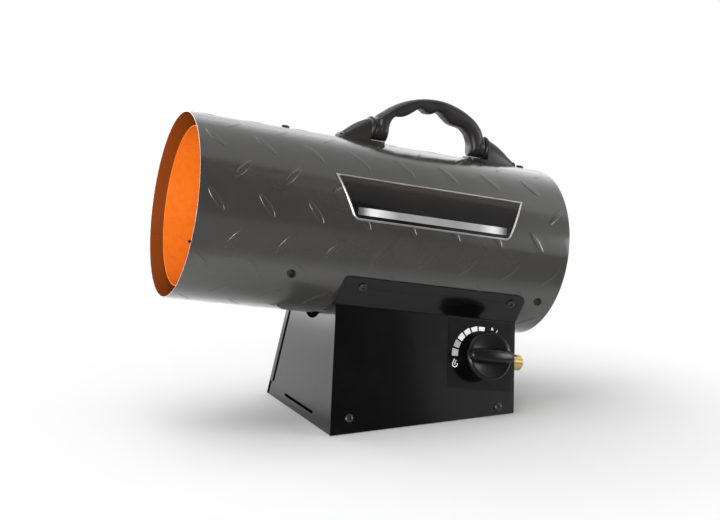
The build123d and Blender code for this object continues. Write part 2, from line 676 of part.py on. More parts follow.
def motor_grommet():
    """Small rubber grommet where the motor's lead leaves the tube."""
    place = Pos(MOTOR_LEAD_U, 0, -TUBE_R)
    body = upright(LEAD_GROMMET_R, -3.0, 4.0)
    body += upright(LEAD_GROMMET_R + 2, -3.0, -0.2)
    body += upright(LEAD_GROMMET_R + 2, 1.6, 4.0)
    body -= upright(MOTOR_LEAD_R + SEAT, -10, 10)
    shell = ring(TUBE_R + SEAT, TUBE_R - SHEET - SEAT, MOTOR_LEAD_U - 20, MOTOR_LEAD_U + 20)
    bore = place * upright(LEAD_GROMMET_R + 0.01, -8, 8)
    return place * body - (shell - bore)


def motor_lead():
    """Motor lead from the coil down through the shell to the terminal strip."""
    lift = TERMINAL_H + SEAT * 2 + MOTOR_LEAD_R
    end = (on_pan(TERMINAL_U + 2.5, TERMINAL_Y) * Pos(0, 0, lift)).position
    coil_bottom = STACK_BOTTOM - COIL_T - SEAT
    points = [
        (MOTOR_LEAD_U, 0, coil_bottom),
        (MOTOR_LEAD_U, 0, -TUBE_R - 18),
        (MOTOR_LEAD_U - 4, TERMINAL_Y - 5, end.Z + 25),
        (end.X, end.Y, end.Z),
    ]
    return pipe(points, [9, 9], MOTOR_LEAD_R)


def gas_inlet_fitting():
    """Brass bulkhead fitting: flare thread outside the rear plate, a short tube to the valve."""
    _, y, w = valve_port(0)
    inner = PLATE_REAR_U - SHEET
    outer = PLATE_REAR_U
    place = Rot(0, 90, 0)
    thread = turned((0, 0), (INLET_R, 0), (INLET_R, INLET_L - INLET_TAPER), (5.2, INLET_L), (0, INLET_L))
    collar = Pos(outer + SEAT, y, w) * place * hexagon(INLET_HEX, 0, INLET_COLLAR_T)
    start = KNOB_U + VALVE_R + 4 + SEAT
    body = collar + Pos(outer + SEAT + INLET_COLLAR_T, y, w) * place * thread
    body += disc(INLET_SHANK_R, inner - 6, outer + 1, y, w)
    body += disc(INLET_BORE_R + 0.9, start, inner, y, w)
    return body - disc(INLET_BORE_R, start - 1, outer + 30, y, w)


def inlet_nut():
    """Locknut that holds the inlet fitting, inside the rear plate."""
    _, y, w = valve_port(0)
    inner = PLATE_REAR_U - SHEET
    nut = hexagon(INLET_HEX, -4, 0) - upright(INLET_SHANK_R + RUNNING, -5, 1)
    return Pos(inner - SEAT, y, w) * Rot(0, 90, 0) * nut


def cord_w():
    return ground_w(PLATE_REAR_U) + CORD_LIFT


def cord_gland():
    """Plastic cable gland in the rear plate, with its cord left out."""
    inner = PLATE_REAR_U - SHEET
    outer = PLATE_REAR_U
    w = cord_w()
    body = disc(GLAND_R + 2.5, outer + SEAT, outer + 5, CORD_Y, w)
    body += disc(GLAND_R + 0.5, outer + 4, outer + 9, CORD_Y, w)
    body += disc(GLAND_R, inner - 1, outer + 1, CORD_Y, w)
    body += disc(GLAND_R + 2.0, inner - 5, inner - SEAT, CORD_Y, w)
    return body - disc(GLAND_BORE_R, inner - 10, outer + 12, CORD_Y, w)


# ======================= fan and motor =================================================

def fan_blade():
    """One twisted blade, standing up from the hub: narrow and steep there, wide and flat outside."""
    sections = []
    for share in (0, 1 / 3, 2 / 3, 1):
        radius = FAN_ROOT_R + (FAN_R - FAN_ROOT_R) * share
        widening = sind(108 * share) / sind(108)
        chord = ROOT_CHORD + (TIP_CHORD - ROOT_CHORD) * widening
        pitch = ROOT_PITCH + (TIP_PITCH - ROOT_PITCH) * share
        plate = Plane(origin=(0, 0, radius), x_dir=(sind(pitch), cosd(pitch), 0), z_dir=(0, 0, 1))
        sections.append(plate * Rectangle(chord, BLADE_T))
    return loft(sections)


def fan():
    """Stamped fan: a hub disc and twisted blades, trimmed to a circle."""
    hub = disc(FAN_HUB_R, -1, 1)
    blades = [Rot(360.0 / FAN_BLADES * k, 0, 0) * fan_blade() for k in range(FAN_BLADES)]
    wheel = hub + blades
    wheel &= disc(FAN_R - 0.6, -20, 20)
    wheel -= disc(SHAFT_R + RUNNING, -30, 30)
    return Pos(FAN_U, 0, 0) * wheel


def fan_hub():
    """Collar riveted behind the fan, gripping the shaft."""
    back = FAN_U + 1 + SEAT
    collar = ring(7, SHAFT_R + RUNNING, back, back + 8)
    return collar + ring(11, SHAFT_R + RUNNING, back, back + 1.5)


def fan_clip():
    """Push-on spring nut at the end of the shaft."""
    face = FAN_U - 1 - SEAT
    return ring(6, SHAFT_R + RUNNING, face - 1.0, face) + ring(8, 5.5, face - 0.6, face)


def motor_shaft():
    front = FAN_U - 7
    rear = STACK_U + STACK_L / 2 + BRIDGE_GAP + 10
    shaft = disc(SHAFT_R, front, rear)
    ends = shaft.edges().filter_by(GeomType.CIRCLE)
    return chamfer(ends, 0.5)


def rotor_core():
    half = STACK_L / 2 + 1
    return ring(ROTOR_R, SHAFT_R + RUNNING, STACK_U - half, STACK_U + half)


def stator_stack():
    """Laminated frame of a shaded-pole motor: the rotor's bore above, a leg for the coil below."""
    frame = RectangleRounded(2 * STACK_HALF_Y, STACK_TOP - STACK_BOTTOM, 4)
    frame = Pos(0, (STACK_TOP + STACK_BOTTOM) / 2) * frame
    window_top = -ROTOR_R - 8.5
    window_bottom = STACK_BOTTOM + LEG_T
    window = Rectangle(2 * WINDOW_HALF_Y, window_top - window_bottom)
    frame -= Pos(0, (window_top + window_bottom) / 2) * window
    frame -= Circle(ROTOR_R + AIR_GAP)
    for side in (-1, 1):
        frame -= Pos(side * BOLT_Y, 0) * Circle(BOLT_R + 0.2)
        frame -= Pos(side * (ROTOR_R + 3.2), 6) * Circle(1.5)
    return extrude(section(STACK_U - STACK_L / 2) * frame, STACK_L)


def motor_coil():
    """Taped winding round the lower leg, with its bobbin cheeks."""
    leg_mid = STACK_BOTTOM + LEG_T / 2
    clear = SEAT
    core = (STACK_L / 2 + clear, LEG_T / 2 + clear)
    half_y = WINDOW_HALF_Y - 0.6
    coil = block(STACK_U - core[0] - COIL_T, STACK_U + core[0] + COIL_T, -half_y, half_y,
                 leg_mid - core[1] - COIL_T, leg_mid + core[1] + COIL_T)
    coil = fillet(coil.edges().filter_by(Axis.Y), 5)
    waist = block(STACK_U - FAR, STACK_U + FAR, -half_y + 2, half_y - 2, leg_mid - FAR, leg_mid + FAR)
    slim = block(STACK_U - core[0] - COIL_T + 1.2, STACK_U + core[0] + COIL_T - 1.2, -half_y, half_y,
                 leg_mid - core[1] - COIL_T + 1.2, leg_mid + core[1] + COIL_T - 1.2)
    coil -= waist - fillet(slim.edges().filter_by(Axis.Y), 4)
    return coil - block(STACK_U - core[0], STACK_U + core[0], -half_y - 1, half_y + 1,
                        leg_mid - core[1], leg_mid + core[1])


def bearing_bridge(side):
    """Pressed strap over one end of the rotor, with a boss round the bearing."""
    face = STACK_L / 2 + SEAT
    strap = block(face + BRIDGE_GAP, face + BRIDGE_GAP + BRIDGE_T,
                  -BOLT_Y - 5, BOLT_Y + 5, -BRIDGE_W / 2, BRIDGE_W / 2)
    strap = fillet(strap.edges().filter_by(Axis.X), 5)
    for y in (-BOLT_Y, BOLT_Y):
        strap += disc(4.5, face, face + BRIDGE_GAP + 0.5, y)
    strap += disc(8.0, face + BRIDGE_GAP - 2, face + BRIDGE_GAP + BRIDGE_T + 6)
    strap -= disc(BEARING_R + RUNNING, 0, FAR)
    for y in (-BOLT_Y, BOLT_Y):
        strap -= disc(BOLT_R + 0.2, 0, FAR, y)
    if side < 0:
        strap = mirror(strap, about=Plane.YZ)
    return Pos(STACK_U, 0, 0) * strap


def bearing(side):
    start = STACK_L / 2 + SEAT + BRIDGE_GAP - 2.5
    sleeve = ring(BEARING_R, SHAFT_R + RUNNING, start, start + 11)
    if side < 0:
        sleeve = mirror(sleeve, about=Plane.YZ)
    return Pos(STACK_U, 0, 0) * sleeve


def motor_spider():
    """Three-armed sheet spider that carries the motor from the shell's rear screws."""
    plate = disc(SPIDER_R, SPIDER_U, SPIDER_U + SPIDER_T)
    top = SPIDER_TAB_R + SPIDER_T
    arm = block(SPIDER_U, SPIDER_U + SPIDER_T, -ARM_W / 2, ARM_W / 2, SPIDER_R - 4, top)
    tab = block(SPIDER_U, REAR_SCREW_U + 5, -ARM_W / 2, ARM_W / 2, SPIDER_TAB_R, top)
    tab -= Pos(REAR_SCREW_U, 0, 0) * upright(SCREW_HOLE_R, SPIDER_R, TUBE_R)
    spider = plate + [Rot(phi, 0, 0) * (arm + tab) for phi in RING_ANGLES]
    spider -= disc(9, SPIDER_U - 1, SPIDER_U + 3)
    for y in (-BOLT_Y, BOLT_Y):
        spider -= disc(BOLT_R + 0.2, SPIDER_U - 1, SPIDER_U + 3, y)
    for k in range(3):
        spider -= [Rot(120 * k + 60, 0, 0) * disc(5, SPIDER_U - 1, SPIDER_U + 3, 0, 21)]
    return spider


def motor_bolts():
    """Two through bolts that clamp bridges, laminations and spider."""
    front = STACK_U - (SPIDER_U - STACK_U) + SEAT
    rear = SPIDER_U + SPIDER_T + SEAT
    bolts = []
    for y in (-BOLT_Y, BOLT_Y):
        bolt = disc(BOLT_R, front - 3.5, rear, y)
        bolt += disc(4, rear, rear + 2.4, y)
        bolt += Pos(front - SEAT * 2, y, 0) * Rot(0, 90, 0) * hexagon(7, -3, 0)
        bolts.append(bolt)
    return group(bolts)


def rear_guard():
    """Wire guard over the air intake: six-sided rings welded across radial bars, on three tabs."""
    rim_r = GUARD_TAB_R - GUARD_WIRE_R + WELD
    wires = []
    for radius in GUARD_RINGS + (rim_r,):
        wire = Pos(GUARD_U, radius) * RegularPolygon(GUARD_WIRE_R, 6)
        wires.append(revolve(Plane.XY * wire, Axis.X))
    bar_u = GUARD_U - 2 * GUARD_WIRE_R + WELD
    first, last = GUARD_RINGS[0] - 1, rim_r
    bar = Pos(bar_u, 0, 0) * upright(GUARD_WIRE_R, first, last)
    for k in range(GUARD_BARS):
        wires.append(Rot(360.0 / GUARD_BARS * (k + 0.5), 0, 0) * bar)
    top = GUARD_TAB_R + 1.0
    tab = block(REAR_SCREW_U - 5, GUARD_U + 0.8, -ARM_W / 2, ARM_W / 2, GUARD_TAB_R, top)
    tab -= Pos(REAR_SCREW_U, 0, 0) * upright(SCREW_HOLE_R, SPIDER_R, TUBE_R)
    wires += [Rot(phi, 0, 0) * tab for phi in RING_ANGLES]
    return wires[0] + wires[1:]


# ======================= base ==========================================================

def side_y(w, inset=0.0):
    """Half-width of the base at height w, inset square to the side panels."""
    return FOLD_Y + tand(SIDE_SLOPE) * (-w - FOLD_W) - inset / cosd(SIDE_SLOPE)


def base_prism(u0, u1, inset, top_w=-FOLD_W, bottom_w=UNDERGROUND_W):
    """Prism between the two leaning sides, from u0 to u1."""
    corners = [
        (side_y(top_w, inset), top_w), (side_y(bottom_w, inset), bottom_w),
        (-side_y(bottom_w, inset), bottom_w), (-side_y(top_w, inset), top_w),
    ]
    return extrude(section(u0) * make_face(Polyline(*corners, close=True)), u1 - u0)


def ground_w(u):
    """Height, in the tube's frame, at which the plane square to the tube meets the ground."""
    return (u * sind(TILT) - AXIS_H) / cosd(TILT)


def panel_screw_places():
    """Panel screws of the knob side: places on the panel's outside face."""
    places = []
    for u, lift in zip(PANEL_SCREW_U, PANEL_SCREW_LIFT):
        drop = (-ground_w(u) - FOLD_W) / cosd(SIDE_SLOPE) - lift
        places.append(PANEL * Pos(u, -drop, 0))
    return places


def both_sides(places, tool):
    """A tool at each place on the knob side, and its mirror image on the other side."""
    knob_side = [place * tool for place in places]
    return knob_side + [mirror(item, about=Plane.XZ) for item in knob_side]


def base_pan():
    """Front plate, level pan and rear plate folded from one sheet, with side lips."""
    tube_clear = disc(TUBE_R + SEAT, -TUBE_L, TUBE_L)
    front = base_prism(PLATE_FRONT_U, PLATE_FRONT_U + SHEET, RETURN_T)
    rear = base_prism(PLATE_REAR_U - SHEET, PLATE_REAR_U, RETURN_T)
    middle = base_prism(PLATE_FRONT_U, PLATE_REAR_U, RETURN_T)
    core = base_prism(PLATE_FRONT_U - 1, PLATE_REAR_U + 1, RETURN_T + SHEET)
    front = above_ground(front - tube_clear)
    rear = above_ground(rear - tube_clear)
    pan = middle & slab(0, SHEET)
    lips = (middle - core) & slab(0, LIP_H)
    front -= disc(NOTCH_R, PLATE_FRONT_U - 2, PLATE_FRONT_U + 3, 0, NOTCH_W)
    slot_w = ground_w(PLATE_FRONT_U) + (SLOT_LIFT + SLOT_H / 2) / cosd(TILT)
    slot = section(PLATE_FRONT_U - 2) * Pos(0, slot_w) * SlotOverall(SLOT_L, SLOT_H)
    front -= extrude(slot, 6)
    _, inlet_y, inlet_w = valve_port(0)
    rear -= disc(INLET_SHANK_R + SEAT, PLATE_REAR_U - 3, PLATE_REAR_U + 2, inlet_y, inlet_w)
    rear -= disc(GLAND_R + SEAT, PLATE_REAR_U - 3, PLATE_REAR_U + 2, CORD_Y, cord_w())
    for k in range(VENT_N):
        vent_w = -FOLD_W - VENT_DROP - VENT_PITCH * k
        vent = section(PLATE_REAR_U - 3) * Pos(6, vent_w) * SlotOverall(VENT_L, VENT_H)
        rear -= extrude(vent, 6)
    base = front + pan + rear + lips
    return base - both_sides(panel_screw_places(), upright(SCREW_HOLE_R, -8, 4))


def flange_angle():
    """Angle round the tube at which the flange's inside face is tangent to it."""
    fold_phi = 180 - math.degrees(math.atan2(FOLD_Y, FOLD_W))
    reach = math.hypot(FOLD_Y, FOLD_W)
    return fold_phi - math.degrees(math.acos((TUBE_R + SEAT + SHEET) / reach))


def flange_frame():
    """Place on the flange's outside, at its top edge: Z points out of the tube."""
    return round_tube(flange_angle(), 0, TUBE_R + SEAT + SHEET)


def flange_screw_places():
    places = []
    for u in FLANGE_SCREW_U:
        drop = flange_frame() * Pos(u, -FLANGE_SCREW_DROP, 0)
        places += [drop, mirrored_place(drop)]
    return places


def mirrored_place(place):
    """The same place on the other side of the heater."""
    plane = Plane(place)
    origin = (plane.origin.X, -plane.origin.Y, plane.origin.Z)
    normal = (plane.z_dir.X, -plane.z_dir.Y, plane.z_dir.Z)
    return Plane(origin=origin, x_dir=plane.x_dir, z_dir=normal).location


def flange_length():
    reach = math.hypot(FOLD_Y, FOLD_W)
    return math.sqrt(reach ** 2 - (TUBE_R + SEAT + SHEET) ** 2)


def cover_section():
    """Cross-section of the knob-side cover: flange and panel bent from one sheet."""
    phi = flange_angle()
    flange_out = (-sind(phi), cosd(phi))
    panel_out = (-cosd(SIDE_SLOPE), sind(SIDE_SLOPE))
    fold = (-FOLD_Y, -FOLD_W)
    outside = TUBE_R + SEAT + SHEET
    top = (flange_out[0] * outside, flange_out[1] * outside)
    bottom = (-side_y(UNDERGROUND_W), UNDERGROUND_W)
    share = SHEET / (1 + flange_out[0] * panel_out[0] + flange_out[1] * panel_out[1])
    inner_top = (top[0] - SHEET * flange_out[0], top[1] - SHEET * flange_out[1])
    inner_bottom = (bottom[0] - SHEET * panel_out[0], bottom[1] - SHEET * panel_out[1])
    inner_fold = (fold[0] - share * (flange_out[0] + panel_out[0]),
                  fold[1] - share * (flange_out[1] + panel_out[1]))
    face = make_face(Polyline(top, fold, bottom, inner_bottom, inner_fold, inner_top, close=True))
    face = fillet(face.vertices().sort_by_distance(Vector(*fold))[0], BEND_R + SHEET)
    return fillet(face.vertices().sort_by_distance(Vector(*inner_fold))[0], BEND_R)


def side_cover_blank():
    """Folded cover of the knob side: flange along the tube, leaning panel and end returns."""
    span = (BASE_FRONT_U, BASE_REAR_U)
    cover = extrude(section(span[0]) * cover_section(), span[1] - span[0])
    for u, radius in ((span[0], FLANGE_FRONT_R), (span[1], FLANGE_CORNER_R)):
        corner = (flange_frame() * Pos(u, 0, -SHEET / 2)).position
        cover = fillet(cover.edges().sort_by_distance(corner)[0], radius)
    low_side = block(span[0], span[1], -2 * TUBE_R, 0, UNDERGROUND_W, -FOLD_W - RETURN_GAP)
    for u in (span[0], span[1] - SHEET):
        tab = base_prism(u, u + SHEET, 0) - base_prism(u - 1, u + SHEET + 1, RETURN_W)
        cover += above_ground(tab & low_side, RETURN_LIFT)
    cover = above_ground(cover, COVER_LIFT)
    hole = upright(SCREW_HOLE_R, -4, 4)
    return cover - [place * hole for place in panel_screw_places() + flange_screw_places()]


def control_panel():
    """Knob-side cover with the hole for the valve's neck and its two screws."""
    cover = side_cover_blank()
    cover -= KNOB_AXIS * upright(NECK_R + SEAT, -5, 5)
    cover -= [KNOB_AXIS * Pos(x, 0, 0) * upright(VALVE_SCREW_R + 0.2, -5, 5) for x in VALVE_SCREW_X]
    return cover


def side_cover():
    return mirror(side_cover_blank(), about=Plane.XZ)


def cover_screws():
    """Screws of both side covers: through the flanges, and low on the panels."""
    tool = Pos(0, 0, SEAT) * screw(COVER_SCREW_L)
    return group([place * tool for place in flange_screw_places()]
                 + both_sides(panel_screw_places(), tool))


# ======================= valve and knob ================================================

def valve_body():
    """Die-cast tap behind the panel: a bore for the plug, a neck for the stem, two ports."""
    top = -SHEET - SEAT
    body = upright(VALVE_R, -VALVE_BACK_H, top)
    flange = Pos(0, 0, top - BONNET_T) * extrude(SlotOverall(38, 14), BONNET_T)
    neck = upright(NECK_R, top - 0.5, 1.2)
    port_n = -VALVE_PORT_DEPTH
    ports = Pos(0, 0, port_n) * Rot(0, 90, 0) * Cylinder(6.5, 2 * VALVE_R + 8)
    nut = Pos(-VALVE_R - 4, 0, port_n) * Rot(0, -90, 0) * hexagon(14, 0, 8)
    body = body + flange + neck + ports + nut
    body -= upright(PLUG_R + RUNNING, PLUG_BOTTOM_H - SEAT, BORE_TOP_H)
    body -= upright(STEM_R + RUNNING, BORE_TOP_H - 1, 2)
    body -= upright(STEM_R + 0.6, -VALVE_BACK_H + 2, PLUG_BOTTOM_H)
    body -= Pos(-VALVE_R - 14, 0, port_n) * Rot(0, 90, 0) * upright(PIPE_R + SEAT, 0, 8.5)
    body -= Pos(VALVE_R - 2, 0, port_n) * Rot(0, 90, 0) * upright(4, 0, 8)
    body -= [Pos(x, 0, 0) * upright(VALVE_SCREW_R + 0.2, -9, 0) for x in VALVE_SCREW_X]
    return KNOB_AXIS * body


def d_tail(radius, flat, z0, z1):
    """Rod with one flat along it."""
    rod = upright(radius, z0, z1)
    keep = Pos(flat - 10, 0, (z0 + z1) / 2) * Box(20, 20, z1 - z0 + 1)
    return rod & keep


def valve_plug():
    """Plug that turns in the bore and meters the gas, driven by the stem's flat."""
    plug = upright(PLUG_R, PLUG_BOTTOM_H, PLUG_TOP_H)
    plug -= d_tail(STEM_R + RUNNING, FLAT_R + RUNNING, PLUG_BOTTOM_H - 1, PLUG_TOP_H + 1)
    plug -= Pos(0, 0, (PLUG_BOTTOM_H + PLUG_TOP_H) / 2) * Rot(0, 90, 0) * upright(1.8, STEM_R, PLUG_R + 1)
    return KNOB_AXIS * plug


def valve_stem():
    """Stem: slides in the plug when pushed, turns it when turned, and carries the knob."""
    collar_top = BORE_TOP_H - SEAT
    tail_end = PLUG_BOTTOM_H + PUSH_L
    tail = d_tail(STEM_R, FLAT_R, tail_end, PLUG_TOP_H + PUSH_L + 0.5)
    collar_low = collar_top - STEM_COLLAR_T
    shank = upright(STEM_R, PLUG_TOP_H + PUSH_L + 0.4, KNOB_BASE_H + 9)
    collar = upright(STEM_COLLAR_R, collar_low, collar_top)
    tip = d_tail(STEM_R, FLAT_R, KNOB_BASE_H + 9, KNOB_BASE_H + 16)
    return KNOB_AXIS * (tail + shank + collar + tip)


def valve_spring():
    """Return spring under the stem's collar."""
    low = PLUG_TOP_H + SPRING_WIRE_R + SEAT / 2
    high = BORE_TOP_H - SEAT - STEM_COLLAR_T - SPRING_WIRE_R - SEAT / 2
    turns = SPRING_TURNS
    path = Helix(pitch=(high - low) / turns, height=high - low, radius=SPRING_R)
    start = Plane(origin=path @ 0, z_dir=path % 0)
    coil = sweep(start * RegularPolygon(SPRING_WIRE_R, 6), path=path, is_frenet=True)
    return KNOB_AXIS * Pos(0, 0, low) * coil


def valve_screws():
    length = SHEET + BONNET_T + 2
    shank = upright(VALVE_SCREW_R, -length, 0)
    head = upright(VALVE_HEAD_R, 0, 1.2)
    return group(KNOB_AXIS * Pos(x, 0, SEAT + LABEL_T) * (head + shank) for x in VALVE_SCREW_X)


def knob():
    """Moulded knob: flared skirt, bevelled rim, dished face and a tall grip bar across it."""
    skirt = turned(
        (0, KNOB_BASE_H), (KNOB_BASE_R, KNOB_BASE_H), (KNOB_BASE_R + 1.6, KNOB_BASE_H + 5),
        (KNOB_R - 2.2, KNOB_RIM_H - 2.6), (KNOB_R, KNOB_RIM_H - 1.4), (KNOB_R, KNOB_RIM_H),
        (KNOB_R - 1.6, KNOB_FACE_H - 0.4), (0, KNOB_FACE_H + 0.8),
    )
    half = KNOB_R - 0.4
    side = Plane.XZ * make_face(
        Line((-half, KNOB_FACE_H - 4), (-half, KNOB_GRIP_H - 3.5))
        + ThreePointArc((-half, KNOB_GRIP_H - 3.5), (0, KNOB_GRIP_H), (half, KNOB_GRIP_H - 3.5))
        + Line((half, KNOB_GRIP_H - 3.5), (half, KNOB_FACE_H - 4))
        + Line((half, KNOB_FACE_H - 4), (-half, KNOB_FACE_H - 4))
    )
    blade = extrude(side, KNOB_GRIP_T / 2, both=True)
    plan = make_face(
        ThreePointArc((-half, -KNOB_GRIP_T * 0.26), (0, -KNOB_GRIP_T / 2), (half, -KNOB_GRIP_T * 0.26))
        + ThreePointArc((half, -KNOB_GRIP_T * 0.26), (half + 0.4, 0), (half, KNOB_GRIP_T * 0.26))
        + ThreePointArc((half, KNOB_GRIP_T * 0.26), (0, KNOB_GRIP_T / 2), (-half, KNOB_GRIP_T * 0.26))
        + ThreePointArc((-half, KNOB_GRIP_T * 0.26), (-half - 0.4, 0), (-half, -KNOB_GRIP_T * 0.26))
    )
    blade &= extrude(plan, KNOB_GRIP_H + 2, taper=8)
    blade &= upright(KNOB_R - 0.2, KNOB_FACE_H - 5, KNOB_GRIP_H + 5)
    body = skirt + blade
    hollow = turned(
        (STEM_R + 3.2, KNOB_BASE_H - 1), (KNOB_BASE_R - 2, KNOB_BASE_H - 1),
        (KNOB_BASE_R - 1, KNOB_BASE_H + 5), (KNOB_R - 6, KNOB_RIM_H - 2.4), (STEM_R + 3.2, KNOB_RIM_H - 2.4),
    )
    body -= hollow
    body -= upright(STEM_R + SEAT, KNOB_BASE_H - 1, KNOB_BASE_H + 9 + SEAT)
    body -= d_tail(STEM_R + SEAT, FLAT_R + SEAT, KNOB_BASE_H + 8, KNOB_BASE_H + 16 + SEAT)
    return KNOB_AXIS * body


def control_label():
    """Thin scale plate stuck on the panel behind the knob."""
    width = LABEL_U[1] - LABEL_U[0]
    height = LABEL_V[1] - LABEL_V[0]
    sheet = Pos(sum(LABEL_U) / 2, sum(LABEL_V) / 2, SEAT / 3) * extrude(
        RectangleRounded(width, height, 3), LABEL_T)
    sheet = PANEL * sheet
    sheet -= KNOB_AXIS * upright(NECK_R + SEAT, -1, 2)
    return sheet - [KNOB_AXIS * Pos(x, 0, 0) * upright(VALVE_SCREW_R + 0.2, -1, 2) for x in VALVE_SCREW_X]


# ======================= nameplate =====================================================

def nameplate_outline(inset):
    """Trapezoid with rounded lower corners, in the plane that touches the tube at its middle."""
    top = PLATE_HALF_H
    outline = Polyline(
        (PLATE_TOP_U[0], top), (PLATE_TOP_U[1], top),
        (PLATE_BOTTOM_U[1], -top), (PLATE_BOTTOM_U[0], -top), close=True,
    )
    face = make_face(outline)
    low = face.vertices().sort_by(Axis.Y)[:2]
    face = fillet(low, PLATE_CORNER_R)
    if inset:
        face = offset(face, -inset)
    return face


def on_shell(face, r_in, r_out):
    """Curved plate that follows the tube between two radii, with the outline given."""
    column = round_tube(PLATE_PHI, 0, 0) * extrude(face, TUBE_R + 20)
    return column & ring(r_out, r_in, -TUBE_L / 2, TUBE_L / 2)


def nameplate():
    """Bare gloss plate on the knob side of the tube."""
    inner = PLATE_RIM_W + SEAT
    return on_shell(nameplate_outline(inner), TUBE_R + SEAT, TUBE_R + SEAT + PLATE_T)


def nameplate_rim():
    """Bright frame round the nameplate."""
    frame = nameplate_outline(0) - nameplate_outline(PLATE_RIM_W)
    return on_shell(frame, TUBE_R + SEAT, TUBE_R + SEAT + PLATE_RIM_T)


# ======================= handle ========================================================

def boot_screw_places():
    """Screws through the tips of the two boots."""
    return [
        round_tube(0, BOOT_TIP_U[0] + BOOT_SCREW_INSET, TUBE_R),
        round_tube(0, BOOT_TIP_U[1] - BOOT_SCREW_INSET, TUBE_R),
    ]


def boot(sign, face_u):
    """Handle boot in its own frame: collar face at u 0, tip toward -u, then put in place."""
    shoulder = -COLLAR_T
    tip = shoulder - BOOT_L
    top = PIVOT_W + COLLAR_R - 1.8
    low = TUBE_R - 4
    nose = TUBE_R + FOOT_T + 1.2
    side = make_face(Plane.XZ * (
        Line((shoulder + 0.5, low), (shoulder + 0.5, top))
        + Line((shoulder + 0.5, top), (shoulder - 1, top))
        + ThreePointArc((shoulder - 1, top), (shoulder - 16, top - 6.0), (tip + 8, nose))
        + Line((tip + 8, nose), (tip + 8, low))
        + Line((tip + 8, low), (shoulder + 0.5, low))
    ))
    wedge = extrude(side, 20, both=True)
    half = COLLAR_R - 1.5
    cross = Pos(0, PIVOT_W) * Circle(half) + Pos(0, (PIVOT_W + low) / 2) * Rectangle(2 * half, PIVOT_W - low)
    wedge &= extrude(section(tip - 5) * cross, BOOT_L + COLLAR_T + 10)
    taper = make_face(Polyline(
        (FOOT_REACH, FOOT_HALF_Y), (shoulder, FOOT_HALF_Y), (tip + 5, TIP_HALF_Y), (tip, TIP_HALF_Y),
        (tip, -TIP_HALF_Y), (tip + 5, -TIP_HALF_Y), (shoulder, -FOOT_HALF_Y),
        (FOOT_REACH, -FOOT_HALF_Y), close=True,
    ))
    ends = taper.vertices().sort_by(Axis.X)
    taper = fillet(ends[:2] + ends[-2:], 5)
    column = extrude(Plane.XY.offset(low) * taper, FAR)
    wedge &= column
    foot = column & ring(TUBE_R + FOOT_T, TUBE_R - 5, tip - 10, FOOT_REACH + 10)
    collar = disc(COLLAR_R, shoulder, 0, 0, PIVOT_W)
    collar = fillet(collar.edges().filter_by(GeomType.CIRCLE), 1.2)
    post = block(-LEG_COLLAR_T - 3.2, -0.4, -4, 4, TUBE_R, PIVOT_W - 8) & disc(COLLAR_R, -20, 0, 0, PIVOT_W)
    boot_shape = wedge + foot + collar + post
    boot_shape -= disc(TUBE_R + SEAT, tip - 10, FOOT_REACH + 10)
    boot_shape -= disc(PIN_R + RUNNING, -PIN_L / 2, 5, 0, PIVOT_W)
    screw_u = tip + BOOT_SCREW_INSET
    boot_shape -= Pos(screw_u, 0, 0) * upright(SCREW_HOLE_R, TUBE_R - 5, TUBE_R + 30)
    boot_shape -= Pos(screw_u, 0, 0) * upright(SCREW_HEAD_R + 0.4, TUBE_R + FOOT_T, TUBE_R + 30)
    if sign < 0:
        boot_shape = mirror(boot_shape, about=Plane.YZ)
    return Pos(face_u, 0, 0) * boot_shape


def handle_boot_front():
    return boot(1, BOOT_FACE[0])


def handle_boot_rear():
    return boot(-1, BOOT_FACE[1])


def handle_pins():
    """Two steel pivot pins, each from its boot's collar into the leg of the handle."""
    front = disc(PIN_R, BOOT_FACE[0] - PIN_L / 2 + 0.2, BOOT_FACE[0] + PIN_L / 2, 0, PIVOT_W)
    rear = disc(PIN_R, BOOT_FACE[1] - PIN_L / 2, BOOT_FACE[1] + PIN_L / 2 - 0.2, 0, PIVOT_W)
    return group([front, rear])


def boot_screws():
    lift = Pos(0, 0, FOOT_T + 0.05)
    return group(place * lift * screw(BOOT_SCREW_L) for place in boot_screw_places())


def grip_side_view():
    """Side view of the handle: an arch outside, two legs and finger scallops inside."""
    top = TUBE_R + ARCH_H
    middle = (LEG_FRONT_U + LEG_REAR_U) / 2
    half = (LEG_REAR_U - LEG_FRONT_U) / 2
    shoulder = top - ARCH_R + math.sqrt(ARCH_R ** 2 - half ** 2)
    foot = PIVOT_W - 2
    arch = ThreePointArc((LEG_FRONT_U, shoulder), (middle, top), (LEG_REAR_U, shoulder))
    under = [(LEG_FRONT_U + u, top - depth) for u, depth in GRIP_UNDER]
    scallops = Spline(*under)
    front = Polyline(under[0], (under[0][0] - 1.0, foot), (LEG_FRONT_U, foot), (LEG_FRONT_U, shoulder))
    rear = Polyline((LEG_REAR_U, shoulder), (LEG_REAR_U, foot), (under[-1][0] + 1.0, foot), under[-1])
    return make_face(Plane.XZ * (arch + rear + scallops + front))


